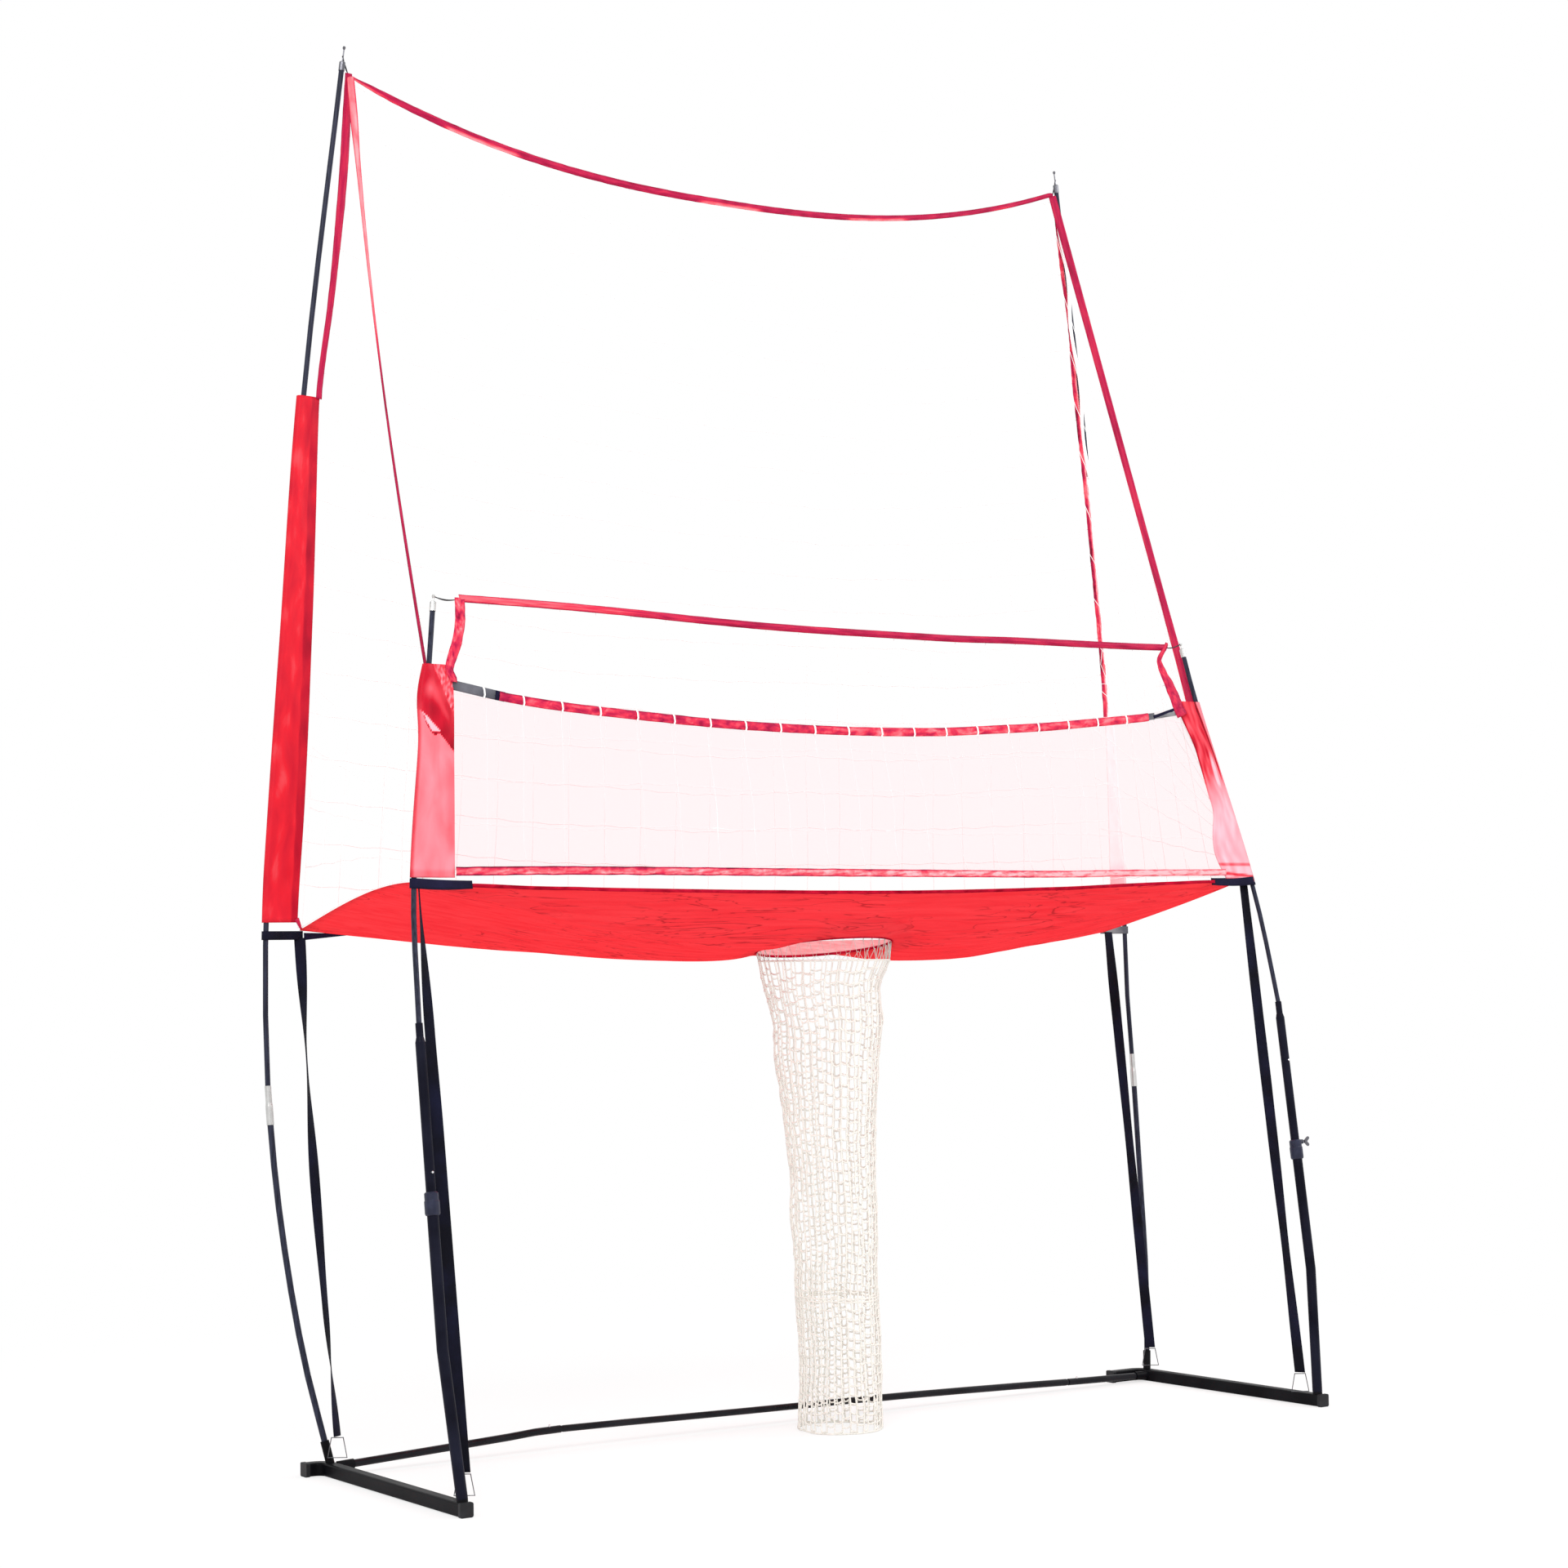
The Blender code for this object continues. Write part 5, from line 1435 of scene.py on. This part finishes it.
def right_front_tone(u, v):
    """Crimson at the top with a gap where the layers part, then a pale foot with painted shade
    along two folds.
    """
    x, down = across_sleeve("right", u, v), 1 - v
    crimson = 0.40 + 0.22 * noise.noise(Vector((x * 7, down * 12, 4)))
    tone = mix(crimson, 0.92, smooth((down - 0.22 - 0.10 * x) * 3.0))
    tone += 0.14 * noise.noise(Vector((x * 6, down * 9, 8)))
    strip = smooth(2 - abs(x - 0.14) * 16) * smooth((0.62 - down) * 6)
    tone = mix(tone, 0.80, 0.8 * strip)
    streak = smooth(1.7 - abs(x - 0.24 + 0.20 * down) * 34) * smooth((0.50 - down) * 6)
    gap = smooth(1.6 - abs(x - 0.36) * 15) * smooth((down - 0.24) * 12) * smooth((0.50 - down) * 12)
    border = smooth(1.4 - x * 24) * smooth((down - 0.12) * 12) * 0.45
    seam = 0.18 * smooth(x * 18 - 16.6) * smooth((0.52 - down) * 8)
    tone += 0.5 * gap - 0.60 * streak - border - seam
    # Thin lines of painted shade along the folds near the foot.
    for fold_at, depth in ((0.905, 0.35), (0.952 + 0.02 * (1 - x), 0.55), (0.985, 0.45)):
        tone -= depth * smooth(1.5 - abs(down - fold_at) * 130)
    return tone


FRONT_LOOKS = {"left": (left_front_tone, left_front_relief),
               "right": (right_front_tone, no_relief)}
for side in SIDES:
    def front_centre(v):
        x, y, z = on_route(FRONT_ROD, mix(*FRONT_SLEEVE, v))
        slack = FRONT_SLACK[side] * math.exp(-((v - 0.86) / 0.16) ** 2)
        return place_on(side, (x + slack, y, z))

    def front_tail(v):
        z = mix(*FRONT_SLEEVE, v)
        return place(front_edge(side, z), front_y(z), z)

    tone, relief = FRONT_LOOKS[side]
    sleeve(side, "front", front_centre, front_tail, FRONT_RADIUS, 120, (0.22, 0.481), VEIL_CLOTH,
           f"{side}_front_pole", tone, puff=0.006, relief=relief)
print("front sleeves from", *FRONT_SLEEVE)

# %% [markdown]
# ## Webbing
#
# Dark webbing ties the tray's four corners to the poles, and a black strap runs from each corner
# to a wire ring at the pole's foot, twisting as it hangs.

# %% Corner loops
LOOP_FLAT, LOOP_TURN = 10, 8
LOOP_GAP = 0.0024


def corner_loop(name, centre, tail, radius, material, body, node, size, droop=0.0):
    def layer(spot, out, way, share, v):
        spot = spot + out * mix(LOOP_GAP / 2, radius, share)
        spot.z -= droop * math.sin(math.pi * share) * (1 if way > 0 else 0.4)
        return spot

    piece = cloth(name, folded(centre, tail, radius, LOOP_FLAT, LOOP_TURN, layer),
                  2 * LOOP_FLAT + LOOP_TURN, 4, size, material, body,
                  thickness=0.0014)
    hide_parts(node)


BACK_LOOP, FRONT_LOOP, FRONT_LOOP_TAIL = (1.2225, 1.2430), (1.3215, 1.3430), (1.3205, 1.3385)
FRONT_LOOP_LIFT = {"left": 0.004, "right": 0.020}
for side in SIDES:
    def back_loop_centre(v):
        return place_on(side, on_route(BACK_POLE, mix(*BACK_LOOP, v)))

    def back_loop_tail(v):
        return place_on(side, (1.2215, NET_Y, mix(*BACK_LOOP, v)))

    corner_loop(f"{side}_back_loop_webbing", back_loop_centre, back_loop_tail, 0.0088,
                BLACK_WEBBING if side == "left" else GREY_WEBBING, "frame",
                f"{side}_back_corner_loop", (0.17, 0.02))
    lift = FRONT_LOOP_LIFT[side]

    def front_loop_centre(v):
        return place_on(side, on_route(FRONT_ROD, mix(*FRONT_LOOP, v) + lift))

    def front_loop_tail(v):
        z = mix(*FRONT_LOOP_TAIL, v) + lift
        return place_on(side, (1.097, front_y(z) - 0.001, z))

    corner_loop(f"{side}_front_loop_webbing", front_loop_centre, front_loop_tail, 0.0085,
                NAVY_WEBBING, f"{side}_front_pole", f"{side}_front_corner_loop", (0.30, 0.022),
                droop=0.003)


def corner_patch_line(u):
    return place(mix(-1.2215, -1.105, u), TRAY_BACK_Y - 0.004, mix(1.2300, 1.2345, u))


flat_webbing("left_back_corner_patch", corner_patch_line, lambda u: mix(0.017, 0.004, u),
             NAVY_WEBBING, "frame", columns=16)
print("corner loops:", 2 * len(SIDES))

# %% [markdown]
# Each strap is a flat band whose angle changes on its way down, so it shows its face, its edge
# and its face again. The front straps reach from a sliding corner to the fixed foot.

# %% Straps
STRAP_ENDS = {
    "back": ((1.222, -0.024, 0.092), (1.245, 0.141, 1.227)),
    "front": ((1.214, -0.612, 0.084), (1.221, -0.438, 1.320)),
}
STRAP_WIDTH, STRAP_SPANS = 0.027, 4
STRAP_ANGLES = {
    "left_back": (150, 87, 60, 112, 40), "right_back": (39, 60, 80, 60, 0),
    "left_front": (27, 27, 27, 65, 115), "right_front": (60, 90, 60, 20, 0),
}
STRAP_TOP_SHIFT = {
    "left_back": Vector((0.014, 0, 0)), "right_back": Vector((0, 0, 0)),
    "left_front": Vector((0, 0, 0.006)), "right_front": Vector((0, 0, 0.020)),
}
STRAP_SWAY = {"left_back": 0.008}
straps = {}
for end_name, ends in STRAP_ENDS.items():
    for side in SIDES:
        which = f"{side}_{end_name}"
        low, high = (place_on(side, spot) for spot in ends)
        high += STRAP_TOP_SHIFT[which]
        angles, sway = STRAP_ANGLES[which], STRAP_SWAY.get(which, 0.0)

        def strap_patch(u, v):
            span = min(int(v * STRAP_SPANS), STRAP_SPANS - 1)
            angle = math.radians(mix(angles[span], angles[span + 1],
                                     smooth(v * STRAP_SPANS - span)))
            flat = Vector((math.cos(angle), -math.sin(angle), 0))
            bow = Vector((-flat.y, flat.x, 0)) * 0.0012 * math.sin(math.pi * u)
            bow.x -= sway * math.sin(math.pi * v)
            return mix(low, high, v) + flat * STRAP_WIDTH * (u - 0.5) + bow

        strap = cloth(f"{which}_strap_webbing", strap_patch, 6, 140, (STRAP_WIDTH, 1.25),
                      BLACK_WEBBING, None if end_name == "front" else "frame",
                      thickness=0.0014)
        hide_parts(f"{which}_strap")
        straps[side, end_name] = strap
print("straps:", len(straps))

# %% [markdown]
# ## Small ties
#
# Two strands of thin dark cord tie each top corner of the nets to the knob of its pole. They
# cross twice and sag by different amounts, so they read as two.

# %% Corner ties
TIE_STEPS, TIE_SLACK, TIE_RADIUS, TIE_SPREAD = 12, 0.004, 0.0012, 0.0012


def tie(name, start, end, body):
    lines = []
    for number, offset in enumerate((TIE_SPREAD, -TIE_SPREAD)):
        line = []
        for step in range(TIE_STEPS + 1):
            share = step / TIE_STEPS
            spot = mix(start, end, share)
            spot.z -= TIE_SLACK * math.sin(math.pi * share) * (1 + 0.3 * number)
            spot.y += offset * math.cos(math.pi * share * 2)
            line.append(spot)
        lines.append(line)
    cords(name, lines, TIE_RADIUS, DARK_CORD, body, sides=6)


BACK_KNOB, FRONT_KNOB = (1.1075, 0.140, 3.345), (1.119, -0.3255, 1.986)
BACK_CORNER_X = {"left": 1.088, "right": 1.099}
FRONT_CORNER_Z = {"left": 1.982, "right": 1.974}
for side in SIDES:
    corner = place_on(side, (BACK_CORNER_X[side], NET_Y, 3.300))
    tie(f"{side}_back_tie", corner, place_on(side, BACK_KNOB), "frame")
    z = FRONT_CORNER_Z[side]
    corner = place_on(side, (1.060, front_y(z), z))
    tie(f"{side}_front_tie", corner, place_on(side, FRONT_KNOB), f"{side}_front_pole")
print("corner ties:", 2 * len(SIDES))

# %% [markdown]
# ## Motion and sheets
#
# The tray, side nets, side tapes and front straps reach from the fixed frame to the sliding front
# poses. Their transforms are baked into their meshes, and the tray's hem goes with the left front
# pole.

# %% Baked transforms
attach(tray_hem, "left_front_pole")
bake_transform(tray)
for side in SIDES:
    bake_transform(side_nets[side])
    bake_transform(side_tapes[side])
    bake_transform(straps[side, "front"])
print("blended pieces:", 1 + 3 * len(SIDES))

# %% [markdown]
# The sheets of cloth get no flat size here.

# %% Sheets
print("sheets: no flat sizes")
